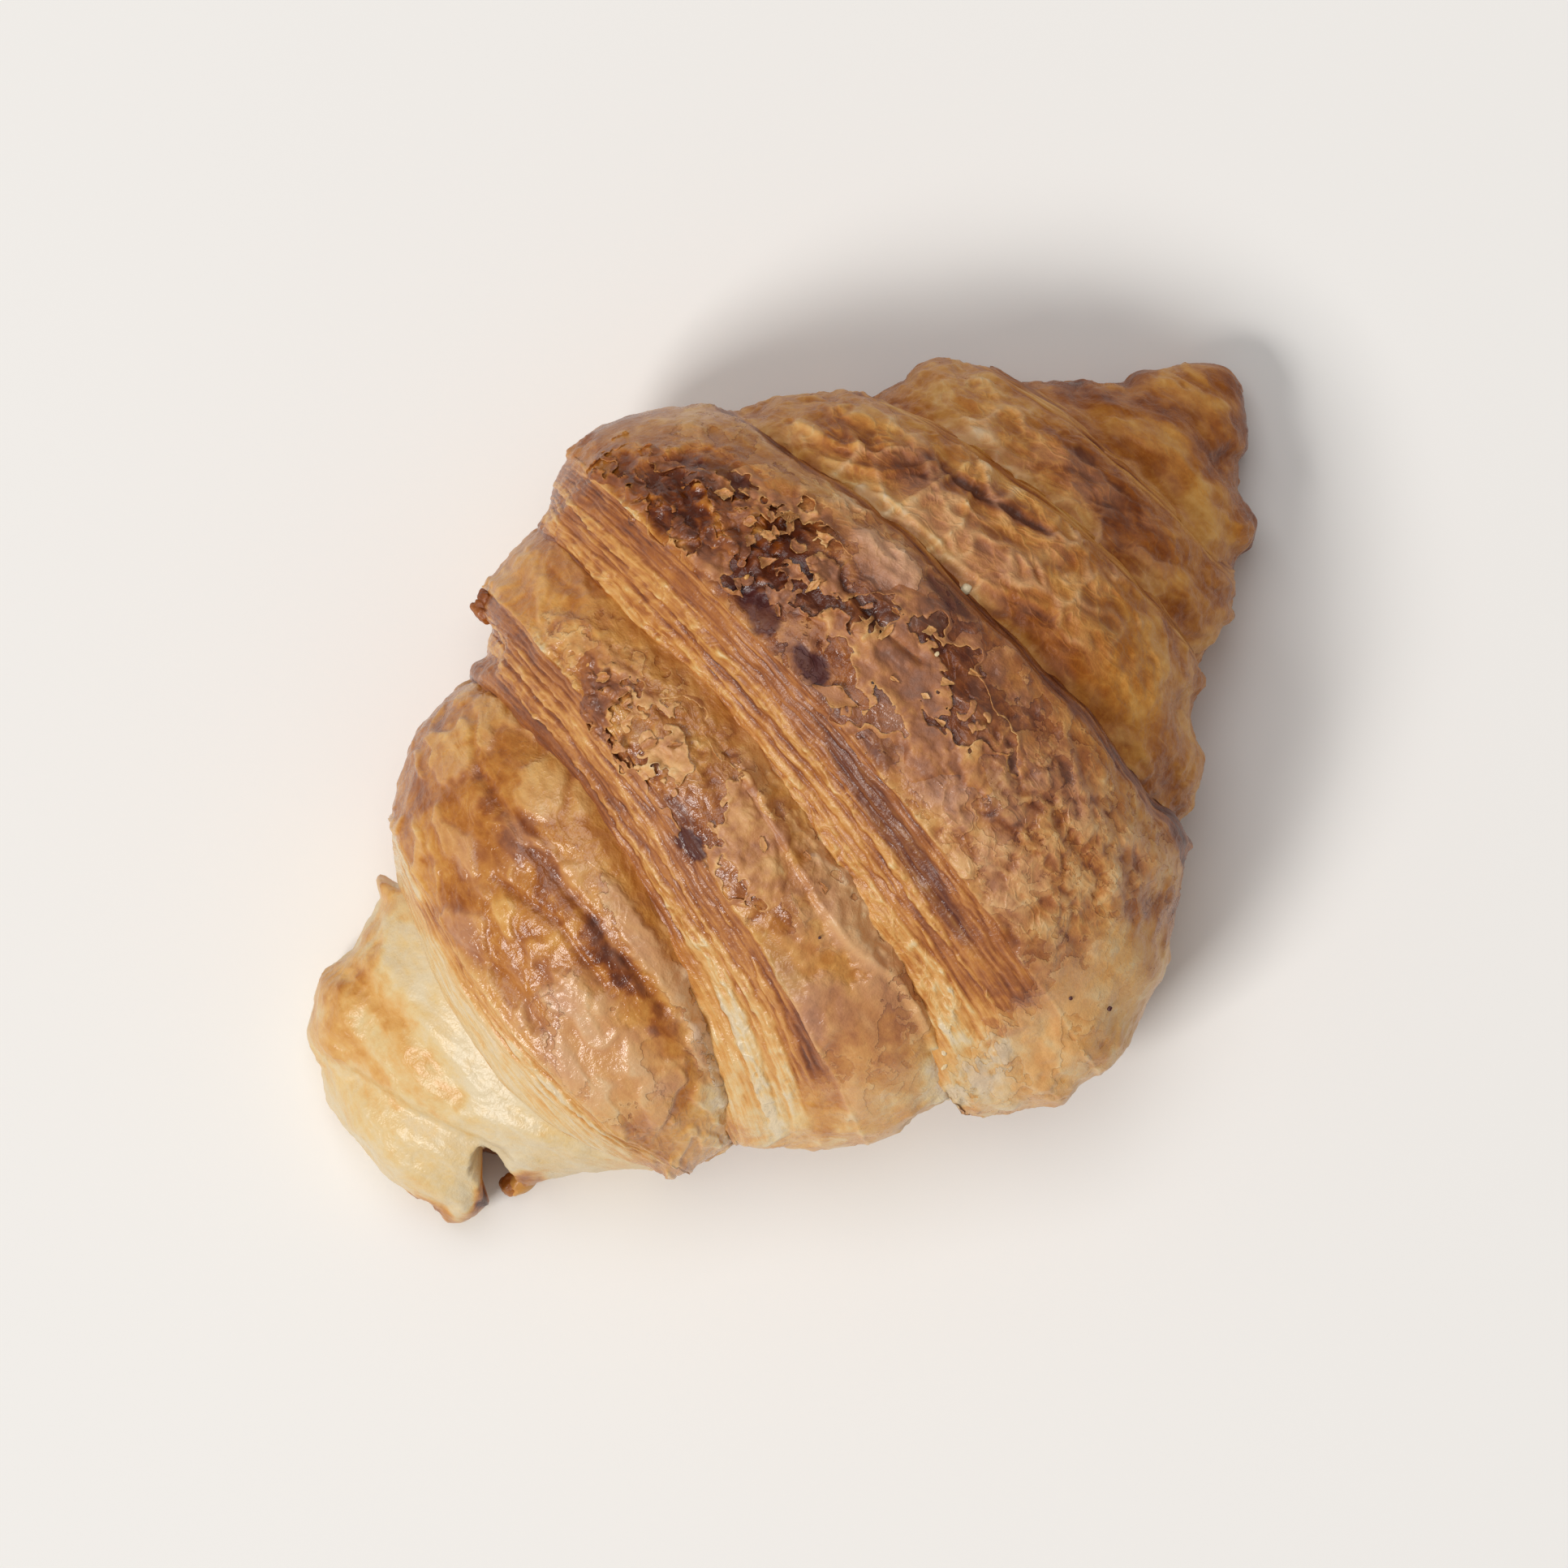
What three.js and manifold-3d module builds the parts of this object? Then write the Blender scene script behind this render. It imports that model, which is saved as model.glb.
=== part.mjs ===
// A butter croissant: seven turns of rolled laminated dough, baked into one piece.
// Millimetres, +Z up. +X runs along the roll, towards the neat closed tip.
// The origin is at the middle of the underside.

import * as THREE from 'three';
import { mergeVertices } from 'three/addons/utils/BufferGeometryUtils.js';
import Module from 'manifold-3d';

const wasm = await Module();
wasm.setup();

// ---------------------------------------------------------------- driving sizes

// The section of the roll: its widest level as a share of its height, how square it is
// above and below that level, and how far the round underside was pressed flat.
const WIDEST_LEVEL = 0.4;
const UPPER_SQUARENESS = 2.15;
const LOWER_SQUARENESS = 2.7;
const FLATTENED = 3.2;

// How finely the turns are divided: facets round the roll, rings along the crust.
const FACETS_ROUND = 56;
const CRUST_RINGS = 3;

// How a turn begins and ends: steps from the hidden end of the crust to its full height.
// A tip's steps are millimetres inwards and a share of the half width that the crust
// drops; a cut face's are shares of its width and of its depth; the others are
// millimetres inwards and millimetres of drop.
const TIP_STEPS = [[0, 0.5], [1.0, 0.25], [3.2, 0.07], [7, 0]];
const FACE_STEPS = [[0.5, 0.5], [0.9, 0.14]];
const EDGE_STEPS = [[-1, 6], [0, 2], [1.3, 0.7], [4, 0]];
const TUCK_STEPS = [[-8, 5], [0, 0.6], [4, 0]];

// How far the foot of a cut face sinks into its neighbour, and the round above the face.
const FACE_SINK = 2.4;
const FACE_ROUND = 4;

// How far a turn's closing point lies inside its first and last rings, as a share of its
// length. At a tip it lies on the ring.
const CAP_SHARE = 0.06;

// Each turn of the dough, from the torn tip to the closed one.
//   left, right: where its edges lie along the roll, on the +Y side, on the crown and on
//     the -Y side. The edges run slantwise over the roll.
//   sway, halfWidth, height: the middle line, half the width and the height of the turn
//     at its left edge, half way along, and at its right edge.
//   start, end: how it meets its neighbours. A 'tip' is an end of the roll, a 'face' is
//     the sloping cut edge of the dough, an 'edge' is a steep one, and a 'tuck' runs
//     under the next turn.
//   face: the width and the depth of a sloping cut edge.
const TURNS = [
  {
    left: [-73.4, -74.4, -73.2],
    right: [-43.0, -52.0, -46.0],
    sway: [6.4, 10.3, 3.7],
    halfWidth: [12.2, 20.5, 27.7],
    height: [13, 24, 31],
    start: 'tip',
    end: 'tuck',
  },
  {
    left: [-44.5, -54.0, -48.0],
    right: [-17.5, -23.5, -38.5],
    sway: [4.5, 9.4, 9.1],
    halfWidth: [27.5, 33.0, 33.5],
    height: [34, 42, 44],
    start: 'face',
    end: 'tuck',
    face: { width: 6.7, depth: 3.5 },
  },
  {
    left: [-17.5, -23.5, -38.5],
    right: [1.2, -3.6, -15.5],
    sway: [8.8, 6.1, 3.8],
    halfWidth: [36.3, 43.3, 46.3],
    height: [45, 50, 50.5],
    start: 'face',
    end: 'tuck',
    face: { width: 10, depth: 5 },
  },
  {
    left: [1.2, -3.6, -15.5],
    right: [30.6, 34.8, 29.6],
    sway: [2.0, 0.7, -0.2],
    halfWidth: [49.5, 53.5, 43.4],
    height: [53.5, 56, 51],
    start: 'face',
    end: 'edge',
    face: { width: 13.7, depth: 7 },
  },
  {
    left: [28.0, 31.0, 27.0],
    right: [44.2, 51.0, 49.8],
    sway: [2.2, 2.2, 3.2],
    halfWidth: [40.8, 37.2, 29.7],
    height: [48, 46, 40],
    start: 'tuck',
    end: 'edge',
  },
  {
    left: [41.0, 47.0, 46.0],
    right: [58.6, 61.8, 61.0],
    sway: [1.5, 1.2, 0.0],
    halfWidth: [28.7, 26.8, 22.6],
    height: [38.6, 35.8, 30],
    start: 'tuck',
    end: 'edge',
  },
  {
    left: [55.0, 58.0, 57.0],
    right: [79.6, 81.0, 80.2],
    sway: [-1.0, -3.3, -2.6],
    halfWidth: [21.6, 13.5, 3.4],
    height: [29.6, 21.8, 9],
    start: 'tuck',
    end: 'tip',
  },
];

// Bites torn out of the pale tip: the place and the radius of each.
const TEARS = [
  { x: -74.2, y: -0.4, radius: 1.2 },
  { x: -65.0, y: -5.6, radius: 2.8 },
  { x: -62.6, y: -9.4, radius: 1.4 },
];

// The caramelised crumb of dough that stands out of the +Y side.
const KNOB = { x: -10.4, y: 46.4, z: 24, length: 2.0, reach: 3.2, tall: 2.2 };

// How much bigger the whole is than the turns above, for the lumps of the crust.
const LUMP_ALLOWANCE = 1.01;

// The colour and the sheen of the crust.
const CRUST_COLOUR = 0xb9793c;
const CRUST_ROUGHNESS = 0.42;

const FLOOR_DEPTH = 20;
const FLOOR_SPAN = 400;
const TEAR_HEIGHT = 60;
const ROUND_FACETS = 14;

// ---------------------------------------------------------------- the shape of a turn

// The curve through three values, given at the start, the middle and the end.
function through(values, share) {
  const [start, middle, end] = values;
  const bend = 2 * (start + end - 2 * middle);
  return start + (end - start - bend) * share + bend * share * share;
}

// The point of a turn's surface. `share` runs along the turn from edge to edge, `drop`
// is how far the surface lies below the crust, and `angle` goes round the roll from +Y
// over the crown. `reach` is 1 on the surface and 0 on the middle line.
function turnPoint(turn, share, drop, reach, angle) {
  const side = Math.cos(angle);
  const rise = Math.sin(angle);
  const squareness = rise > 0 ? UPPER_SQUARENESS : LOWER_SQUARENESS;
  const across = Math.sign(side) * Math.abs(side) ** (2 / squareness);
  const up = Math.sign(rise) * Math.abs(rise) ** (2 / squareness);

  const shareInside = THREE.MathUtils.clamp(share, 0, 1);
  const height = through(turn.height, shareInside);
  const level = height * WIDEST_LEVEL;
  const halfWidth = Math.max(through(turn.halfWidth, shareInside) - drop, 0) * reach;
  const above = Math.max(height - level - drop, 0) * reach;
  const below = Math.max(level + FLATTENED - drop, 0) * reach;

  const slant = (1 - across * reach) / 2;
  const leftEdge = through(turn.left, slant);
  const rightEdge = through(turn.right, slant);
  return new THREE.Vector3(
    leftEdge + (rightEdge - leftEdge) * share,
    through(turn.sway, shareInside) + halfWidth * across,
    level + (rise > 0 ? above : below) * up,
  );
}

// How a turn begins and ends, as steps of (millimetres inwards from the edge, drop).
function edgeSteps(kind, face, size) {
  if (kind === 'tip') {
    return TIP_STEPS.map(([inwards, dropShare]) => [inwards, size * dropShare]);
  }
  if (kind === 'face') {
    return [
      [0, face.depth + FACE_SINK],
      ...FACE_STEPS.map(([acrossShare, dropShare]) => [face.width * acrossShare, face.depth * dropShare]),
      [face.width + FACE_ROUND, 0],
    ];
  }
  return kind === 'edge' ? EDGE_STEPS : TUCK_STEPS;
}

// The rings of a turn from edge to edge, each with its share of the way and its drop.
function turnRings(turn) {
  const length = turn.right[1] - turn.left[1];
  const starts = edgeSteps(turn.start, turn.face, turn.halfWidth[0]);
  const ends = edgeSteps(turn.end, turn.face, turn.halfWidth[2]);
  const first = starts.map(([inwards, drop]) => ({ share: inwards / length, drop }));
  const last = ends.map(([inwards, drop]) => ({ share: 1 - inwards / length, drop })).reverse();
  const from = first[first.length - 1].share;
  const to = last[0].share;
  const crust = [];
  for (let ring = 1; ring <= CRUST_RINGS; ring += 1) {
    crust.push({ share: from + ((to - from) * ring) / (CRUST_RINGS + 1), drop: 0 });
  }
  return [...first, ...crust, ...last];
}

// One turn of dough as a closed solid: a lathe of its rings, then every point is carried
// from the round lathe to its place on the turn.
function turnGeometry(turn) {
  const rings = turnRings(turn);
  const profile = [new THREE.Vector2(0, 0)];
  rings.forEach((ring, index) => profile.push(new THREE.Vector2(1, index + 1)));
  profile.push(new THREE.Vector2(0, rings.length + 1));
  const geometry = new THREE.LatheGeometry(profile, FACETS_ROUND);
  const places = geometry.getAttribute('position');
  const point = new THREE.Vector3();
  for (let index = 0; index < places.count; index += 1) {
    point.fromBufferAttribute(places, index);
    const angle = Math.atan2(point.x, point.z);
    const row = Math.round(point.y);
    const onCap = row === 0 || row === rings.length + 1;
    const ring = rings[THREE.MathUtils.clamp(row - 1, 0, rings.length - 1)];
    const inwards = turn.start === 'tip' || turn.end === 'tip' ? 0 : CAP_SHARE;
    const capOffset = row === 0 ? inwards : -inwards;
    const share = onCap ? ring.share + capOffset : ring.share;
    const placed = turnPoint(turn, share, ring.drop, onCap ? 0 : 1, angle);
    places.setXYZ(index, placed.x, placed.y, placed.z);
  }
  return geometry;
}

// ---------------------------------------------------------------- joining and cutting

// A closed geometry as a solid that can be joined and cut.
function toSolid(geometry) {
  geometry.deleteAttribute('normal');
  geometry.deleteAttribute('uv');
  const merged = mergeVertices(geometry);
  const places = merged.getAttribute('position');
  const corners = [];
  const index = merged.index.array;
  for (let at = 0; at < index.length; at += 3) {
    const [a, b, c] = [index[at], index[at + 1], index[at + 2]];
    if (a !== b && b !== c && c !== a) {
      corners.push(a, b, c);
    }
  }
  return new wasm.Manifold(new wasm.Mesh({
    numProp: 3,
    vertProperties: new Float32Array(places.array),
    triVerts: new Uint32Array(corners),
  }));
}

// A solid back as a three.js geometry.
function toGeometry(solid) {
  const mesh = solid.getMesh();
  const geometry = new THREE.BufferGeometry();
  geometry.setAttribute('position', new THREE.BufferAttribute(mesh.vertProperties, 3));
  geometry.setIndex(new THREE.BufferAttribute(mesh.triVerts, 1));
  return geometry;
}

function tearSolid(tear) {
  const geometry = new THREE.CylinderGeometry(tear.radius, tear.radius, TEAR_HEIGHT, ROUND_FACETS);
  geometry.rotateX(Math.PI / 2);
  geometry.translate(tear.x, tear.y, 0);
  return toSolid(geometry);
}

function knobSolid() {
  const geometry = new THREE.SphereGeometry(1, ROUND_FACETS, ROUND_FACETS / 2);
  geometry.scale(KNOB.length, KNOB.reach, KNOB.tall);
  geometry.translate(KNOB.x, KNOB.y, KNOB.z);
  return toSolid(geometry);
}

function floorSolid() {
  const geometry = new THREE.BoxGeometry(FLOOR_SPAN, FLOOR_SPAN, FLOOR_DEPTH);
  geometry.translate(0, 0, -FLOOR_DEPTH / 2);
  return toSolid(geometry);
}

// ---------------------------------------------------------------- the croissant

let dough = TURNS.map((turn) => toSolid(turnGeometry(turn))).reduce((all, turn) => all.add(turn));
dough = dough.add(knobSolid());
TEARS.forEach((tear) => {
  dough = dough.subtract(tearSolid(tear));
});
dough = dough.subtract(floorSolid());

const geometry = toGeometry(dough);
geometry.scale(LUMP_ALLOWANCE, LUMP_ALLOWANCE, LUMP_ALLOWANCE);
geometry.computeBoundingBox();
const middle = geometry.boundingBox.getCenter(new THREE.Vector3());
geometry.translate(-middle.x, -middle.y, 0);
geometry.computeVertexNormals();

const crust = new THREE.MeshStandardMaterial({
  color: CRUST_COLOUR,
  roughness: CRUST_ROUGHNESS,
  metalness: 0,
});
const croissant = new THREE.Mesh(geometry, crust);
croissant.name = 'croissant';

const group = new THREE.Group();
group.add(croissant);

export default group;
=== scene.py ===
"""A baked butter croissant: seven turns of rolled laminated dough.

Every turn is one closed mesh. Its form comes from a few sizes, its relief and its browning
from seeded fields and a short list of marks, and its finish from node materials that
read those fields. All sizes are in millimetres until a mesh is written, in metres.
"""

import itertools
import logging
import math
from collections.abc import Sequence
from dataclasses import dataclass, fields
from enum import Enum

import bmesh
import bpy
import numpy as np
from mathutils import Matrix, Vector


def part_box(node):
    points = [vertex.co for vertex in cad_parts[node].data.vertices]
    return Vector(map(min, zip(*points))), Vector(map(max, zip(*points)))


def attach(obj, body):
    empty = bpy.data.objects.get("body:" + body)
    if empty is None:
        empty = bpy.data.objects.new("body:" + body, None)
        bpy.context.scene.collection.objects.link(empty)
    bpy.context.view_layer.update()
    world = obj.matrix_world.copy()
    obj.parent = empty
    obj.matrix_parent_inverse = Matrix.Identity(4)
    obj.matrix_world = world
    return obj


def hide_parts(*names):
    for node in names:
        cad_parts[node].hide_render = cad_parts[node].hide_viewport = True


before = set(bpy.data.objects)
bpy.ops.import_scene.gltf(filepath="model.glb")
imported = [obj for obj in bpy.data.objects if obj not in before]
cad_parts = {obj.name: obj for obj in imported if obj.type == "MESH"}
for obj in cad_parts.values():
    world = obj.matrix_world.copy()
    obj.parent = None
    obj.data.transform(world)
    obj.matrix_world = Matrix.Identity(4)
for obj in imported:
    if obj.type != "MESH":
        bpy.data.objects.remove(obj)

log = logging.getLogger("croissant")

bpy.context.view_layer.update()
NODE = "croissant"
BODY = "root"

MM = 0.001
UV_MAP = "OFBake"
SAME_PLACE = 1e-8
"""Points closer than this, in metres, are one point."""
SEED = 20
SKIN_SEED = SEED + 60
FAR = 9.0
"""More than any distance that is measured in cells or across a cut edge."""
DARKEST = 0.95
"""The deepest browning that is kept on a mesh."""

Array = np.ndarray
Colour = tuple[float, float, float]


# ------------------------------------------------------------------ small helpers


def within(values: Array) -> Array:
    """Holds values between 0 and 1."""
    return np.clip(values, 0.0, 1.0)


def bell(values: Array, centre: float, width: float) -> Array:
    """Peaks at 1 where the values are at the centre, and fades over the width."""
    return np.exp(-(((values - centre) / width) ** 2))


def stretched(points: Array, squeeze: float) -> Array:
    """Squeezes places round the roll, so that a pattern read there comes out longer."""
    return points * np.array([1.0, squeeze, 1.0])


def ramp_between(low: float, high: float, values: Array) -> Array:
    """Rises smoothly from 0 at low to 1 at high.

    Args:
        low: The value where the rise starts.
        high: The value where it ends; it may be the smaller of the two.
        values: What is mapped.

    Returns:
        Numbers from 0 to 1.
    """
    share = within((values - low) / (high - low))
    return share * share * (3.0 - 2.0 * share)


def through(values: tuple[float, float, float], share: Array) -> Array:
    """Follows the curve through three values.

    Args:
        values: The values at the start, the middle and the end.
        share: How far along the curve, 0 at the start and 1 at the end.

    Returns:
        The curve's values.
    """
    start, middle, end = values
    bend = 2.0 * (start + end - 2.0 * middle)
    return start + (end - start - bend) * share + bend * share * share


def linear(colour: tuple[int, int, int]) -> Colour:
    """Turns a colour of 0 to 255 for each channel into the renderer's linear one.

    Args:
        colour: Red, green and blue, 0 to 255.

    Returns:
        Red, green and blue, 0 to 1, linear.
    """
    shares = [channel / 255.0 for channel in colour]
    return tuple(s / 12.92 if s <= 0.04045 else ((s + 0.055) / 1.055) ** 2.4 for s in shares)


class GradientNoise:
    """Smooth random fields over points in millimetres, the same on every run."""

    CELLS = 256
    GAIN = 1.5
    FINER = 2.03
    SHIFT = 17.3
    RIDGE_FINER = 2.07
    RIDGE_SHIFT = 31.7
    CREST = 1.06
    CREST_ROUND = 0.0036
    APART = 50.0

    def __init__(self, seed: int) -> None:
        """Draws the random order and slopes.

        Args:
            seed: What makes this field differ from the others.
        """
        rng = np.random.default_rng(seed)
        self.order = rng.permutation(self.CELLS).astype(np.int32)
        slopes = rng.normal(size=(3, self.CELLS))
        self.slopes = (slopes / np.linalg.norm(slopes, axis=0)).astype(np.float32)
        self.spots = rng.random((self.CELLS, 3)).astype(np.float32)
        self.draws = rng.random(self.CELLS).astype(np.float32)

    def key(self, cell: Array) -> Array:
        """Gives the random number of each lattice cell."""
        first = self.order[cell[..., 0] & (self.CELLS - 1)]
        second = self.order[(first + cell[..., 1]) & (self.CELLS - 1)]
        return self.order[(second + cell[..., 2]) & (self.CELLS - 1)]

    def single(self, points: Array) -> Array:
        """Gives one octave of the field.

        Args:
            points: Where, counted in cells, one row a point.

        Returns:
            The field, about -1 to 1.
        """
        base = np.floor(points)
        part = (points - base).astype(np.float32)
        cell = base.astype(np.int32) & (self.CELLS - 1)
        fade = part ** 3 * (part * (part * 6.0 - 15.0) + 10.0)
        mask, order = self.CELLS - 1, self.order
        total = np.zeros(len(points), np.float32)
        for step_x in (0, 1):
            key_x = order[(cell[:, 0] + step_x) & mask]
            weight_x = fade[:, 0] if step_x else 1.0 - fade[:, 0]
            for step_y in (0, 1):
                key_y = order[(key_x + cell[:, 1] + step_y) & mask]
                weight_y = weight_x * (fade[:, 1] if step_y else 1.0 - fade[:, 1])
                for step_z in (0, 1):
                    key = order[(key_y + cell[:, 2] + step_z) & mask]
                    weight = weight_y * (fade[:, 2] if step_z else 1.0 - fade[:, 2])
                    rise = self.slopes[0][key] * (part[:, 0] - step_x)
                    rise += self.slopes[1][key] * (part[:, 1] - step_y)
                    rise += self.slopes[2][key] * (part[:, 2] - step_z)
                    total += weight * rise
        return total * self.GAIN

    def smooth(self, points: Array, scale: float, octaves: int = 3, gain: float = 0.5) -> Array:
        """Sums octaves of the field.

        Args:
            points: Where, in millimetres, one row a point.
            scale: The width of the largest lumps.
            octaves: How many ever finer fields are summed.
            gain: How strong each is next to the one before.

        Returns:
            The field, about -1 to 1.
        """
        total = np.zeros(len(points))
        strength, whole, place = 1.0, 0.0, points / scale
        for octave in range(octaves):
            total += strength * self.single(place + self.SHIFT * octave)
            whole += strength
            strength *= gain
            place = place * self.FINER
        return total / whole

    def ridged(self, points: Array, scale: float, octaves: int = 3, gain: float = 0.55) -> Array:
        """Sums octaves folded into sharp crests.

        Args:
            points: Where, in millimetres, one row a point.
            scale: The distance between the largest crests.
            octaves: How many ever finer fields are summed.
            gain: How strong each is next to the one before.

        Returns:
            The field, 0 in the valleys to 1 on the crests.
        """
        total = np.zeros(len(points))
        strength, whole, place = 1.0, 0.0, points / scale
        for octave in range(octaves):
            value = self.single(place + self.RIDGE_SHIFT * octave)
            fold = self.CREST - np.sqrt(value ** 2 + self.CREST_ROUND)
            total += strength * fold * fold
            whole += strength
            strength *= gain
            place = place * self.RIDGE_FINER
        return total / whole

    def creases(self, points: Array, scale: float, octaves: int = 2, sharp: float = 9.0) -> Array:
        """Draws thin meandering lines.

        Args:
            points: Where, in millimetres, one row a point.
            scale: About how far apart the lines are.
            octaves: How many finer fields bend them.
            sharp: How thin they are.

        Returns:
            The field, 1 on the lines and 0 between them.
        """
        return np.exp(-((self.smooth(points, scale, octaves) * sharp) ** 2))

    def warped(self, points: Array, scale: float, reach: float) -> Array:
        """Moves points about at random, so that a pattern read there comes out curled.

        Args:
            points: Where, in millimetres, one row a point.
            scale: The width of the curls.
            reach: About how far points are moved.

        Returns:
            The moved points.
        """
        moves = [self.smooth(points + self.APART * axis, scale, 2) for axis in (1, 2, 3)]
        return points + reach * np.column_stack(moves)

    def cells(self, points: Array, scale: float) -> tuple[Array, Array]:
        """Splits space into random cells, as a crust cracks into plates.

        Args:
            points: Where, in millimetres, one row a point.
            scale: The width of a cell.

        Returns:
            How far each point lies inside its cell's edge, in cell widths, and its cell's draw.
        """
        place = points / scale
        base = np.floor(place)
        part = (place - base).astype(np.float32)
        cell = base.astype(np.int32)
        nearest = np.full(len(points), FAR, np.float32)
        second = nearest.copy()
        draw = np.zeros(len(points), np.float32)
        for step in itertools.product((-1, 0, 1), repeat=3):
            shift = np.array(step, np.int32)
            key = self.key(cell + shift)
            away = self.spots[key] + shift - part
            reach = np.sqrt(np.einsum("ij,ij->i", away, away))
            closer = reach < nearest
            second = np.where(closer, nearest, np.minimum(second, reach))
            draw = np.where(closer, self.draws[key], draw)
            nearest = np.where(closer, reach, nearest)
        return second - nearest, draw


# ------------------------------------------------------------------ the turns of dough


class End(Enum):
    """How a turn of dough meets what lies beyond its edge."""

    TIP = "an end of the roll"
    FACE = "a sloping cut edge that shows its layers"
    EDGE = "a steep edge"
    TUCK = "it runs under the next turn"


@dataclass(frozen=True)
class TurnSizes:
    """The form of one turn. Places are in the dough's own frame, millimetres.

    `left`, `right` and `sway` are the turn's edges and its middle line, each at its start,
    middle and end. `face_width` and `face_depth` are those of its sloping cut edge, and
    `coarser` is how much wider its mesh is than the others'.
    """

    name: str
    left: tuple[float, float, float]
    right: tuple[float, float, float]
    sway: tuple[float, float, float]
    half_width: tuple[float, float, float]
    height: tuple[float, float, float]
    start: End
    end: End
    face_width: float = 0.0
    face_depth: float = 0.0
    coarser: float = 1.0


TURNS = (
    TurnSizes("pale_tip", (-73.4, -74.4, -73.2), (-43.0, -52.0, -46.0), (6.4, 10.3, 3.7),
              (12.2, 20.5, 27.7), (13, 24, 31), End.TIP, End.TUCK),
    TurnSizes("first_lobe", (-44.5, -54.0, -48.0), (-17.5, -23.5, -38.5), (4.5, 9.4, 9.1),
              (27.5, 33.0, 33.5), (34, 42, 44), End.FACE, End.TUCK, 6.7, 3.5),
    TurnSizes("second_lobe", (-17.5, -23.5, -38.5), (1.2, -3.6, -15.5), (8.8, 6.1, 3.8),
              (36.3, 43.3, 46.3), (45, 50, 50.5), End.FACE, End.TUCK, 10.0, 5.0),
    TurnSizes("crown", (1.2, -3.6, -15.5), (30.6, 34.8, 29.6), (2.0, 0.7, -0.2),
              (49.5, 53.2, 43.4), (53.0, 55.2, 50.6), End.FACE, End.EDGE, 13.7, 7.0, 1.25),
    TurnSizes("third_lobe", (28.0, 31.0, 27.0), (44.2, 51.0, 49.8), (2.2, 2.2, 3.2),
              (40.8, 37.2, 29.7), (48, 46, 40), End.TUCK, End.EDGE),
    TurnSizes("fourth_lobe", (41.0, 47.0, 46.0), (58.6, 61.8, 61.0), (1.5, 1.2, 0.0),
              (28.7, 26.8, 22.6), (38.6, 35.8, 30), End.TUCK, End.EDGE),
    TurnSizes("closed_tip", (55.0, 58.0, 57.0), (79.6, 81.0, 80.2), (-1.0, -3.3, -2.6),
              (21.6, 13.5, 3.4), (29.6, 21.8, 9), End.TUCK, End.TIP),
)


class Mark(Enum):
    """What the oven or the baker left on a patch of crust; a few of the paler patches are painted
    light instead.
    """

    BROWN = "browner crust"
    PALE = "paler crust"
    CHAR = "a burnt, purplish spot"
    FLAKY = "skin lifted into curled flakes over glossy crust"
    TORN = "skin torn into ragged plates"
    SKIN = "a dull plate of whole skin"
    WRINKLE = "skin drawn into wrinkles"
    NET = "a raised net of drawn skin"
    SMOOTH = "skin drawn smooth"
    CRUMPLE = "glossy skin crumpled into sharp folds"
    BLISTER = "fine blisters"
    SWELL = "a bulge of the dough, or a dent where negative"


@dataclass(frozen=True)
class Patch:
    """An oval patch of crust, placed as it is seen from above.

    Its length runs along +Y, turned towards +X by `turn` degrees.
    """

    BORDER = 0.95

    x: float
    y: float
    length: float
    width: float
    turn: float = 0.0
    strength: float = 1.0
    ragged: float = 0.35
    soft: float = 0.4

    def over(self, points: Array, frayed: Array) -> Array:
        """Gives the patch's strength over the crust.

        Args:
            points: Where, one row a point.
            frayed: A field that frays the patch's border.

        Returns:
            The strength at each point.
        """
        spin = math.radians(self.turn)
        away_x, away_y = points[:, 0] - self.x, points[:, 1] - self.y
        long = (away_y * math.cos(spin) + away_x * math.sin(spin)) / (0.5 * self.length)
        wide = (away_x * math.cos(spin) - away_y * math.sin(spin)) / (0.5 * self.width)
        reach = np.hypot(long, wide) + self.ragged * frayed
        inside = ramp_between(self.BORDER + self.soft, self.BORDER - self.soft, reach)
        return self.strength * inside


@dataclass(frozen=True)
class Fold:
    """A crease, ridge or skin edge along a line, placed as it is seen from above.

    `ridge` raises the line, or sinks it where it is negative. `step` raises the ground on the
    line's left side, fading over `reach`.
    """

    line: tuple[tuple[float, float], ...]
    width: float
    ridge: float = 0.0
    step: float = 0.0
    reach: float = 6.0
    brown: float = 0.0

    def over(self, points: Array) -> tuple[Array, Array]:
        """Gives the fold's marks on the crust.

        Args:
            points: Where, one row a point.

        Returns:
            Its relief in millimetres, and how much browner it makes the crust.
        """
        near, side = np.full(len(points), np.inf), np.zeros(len(points))
        for start, end in zip(self.line, self.line[1:]):
            first, run = np.array(start), np.array(end) - np.array(start)
            away = points[:, :2] - first
            away = away - within(away @ run / (run @ run))[:, None] * run
            distance = np.hypot(away[:, 0], away[:, 1])
            turned = run[0] * away[:, 1] - run[1] * away[:, 0]
            closer = distance < near
            side = np.where(closer, np.sign(turned), side)
            near = np.where(closer, distance, near)
        line = bell(near, 0.0, self.width)
        raised = ramp_between(-self.width, self.width, near * side) * np.exp(-near / self.reach)
        return self.ridge * line + self.step * raised, self.brown * line


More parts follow.
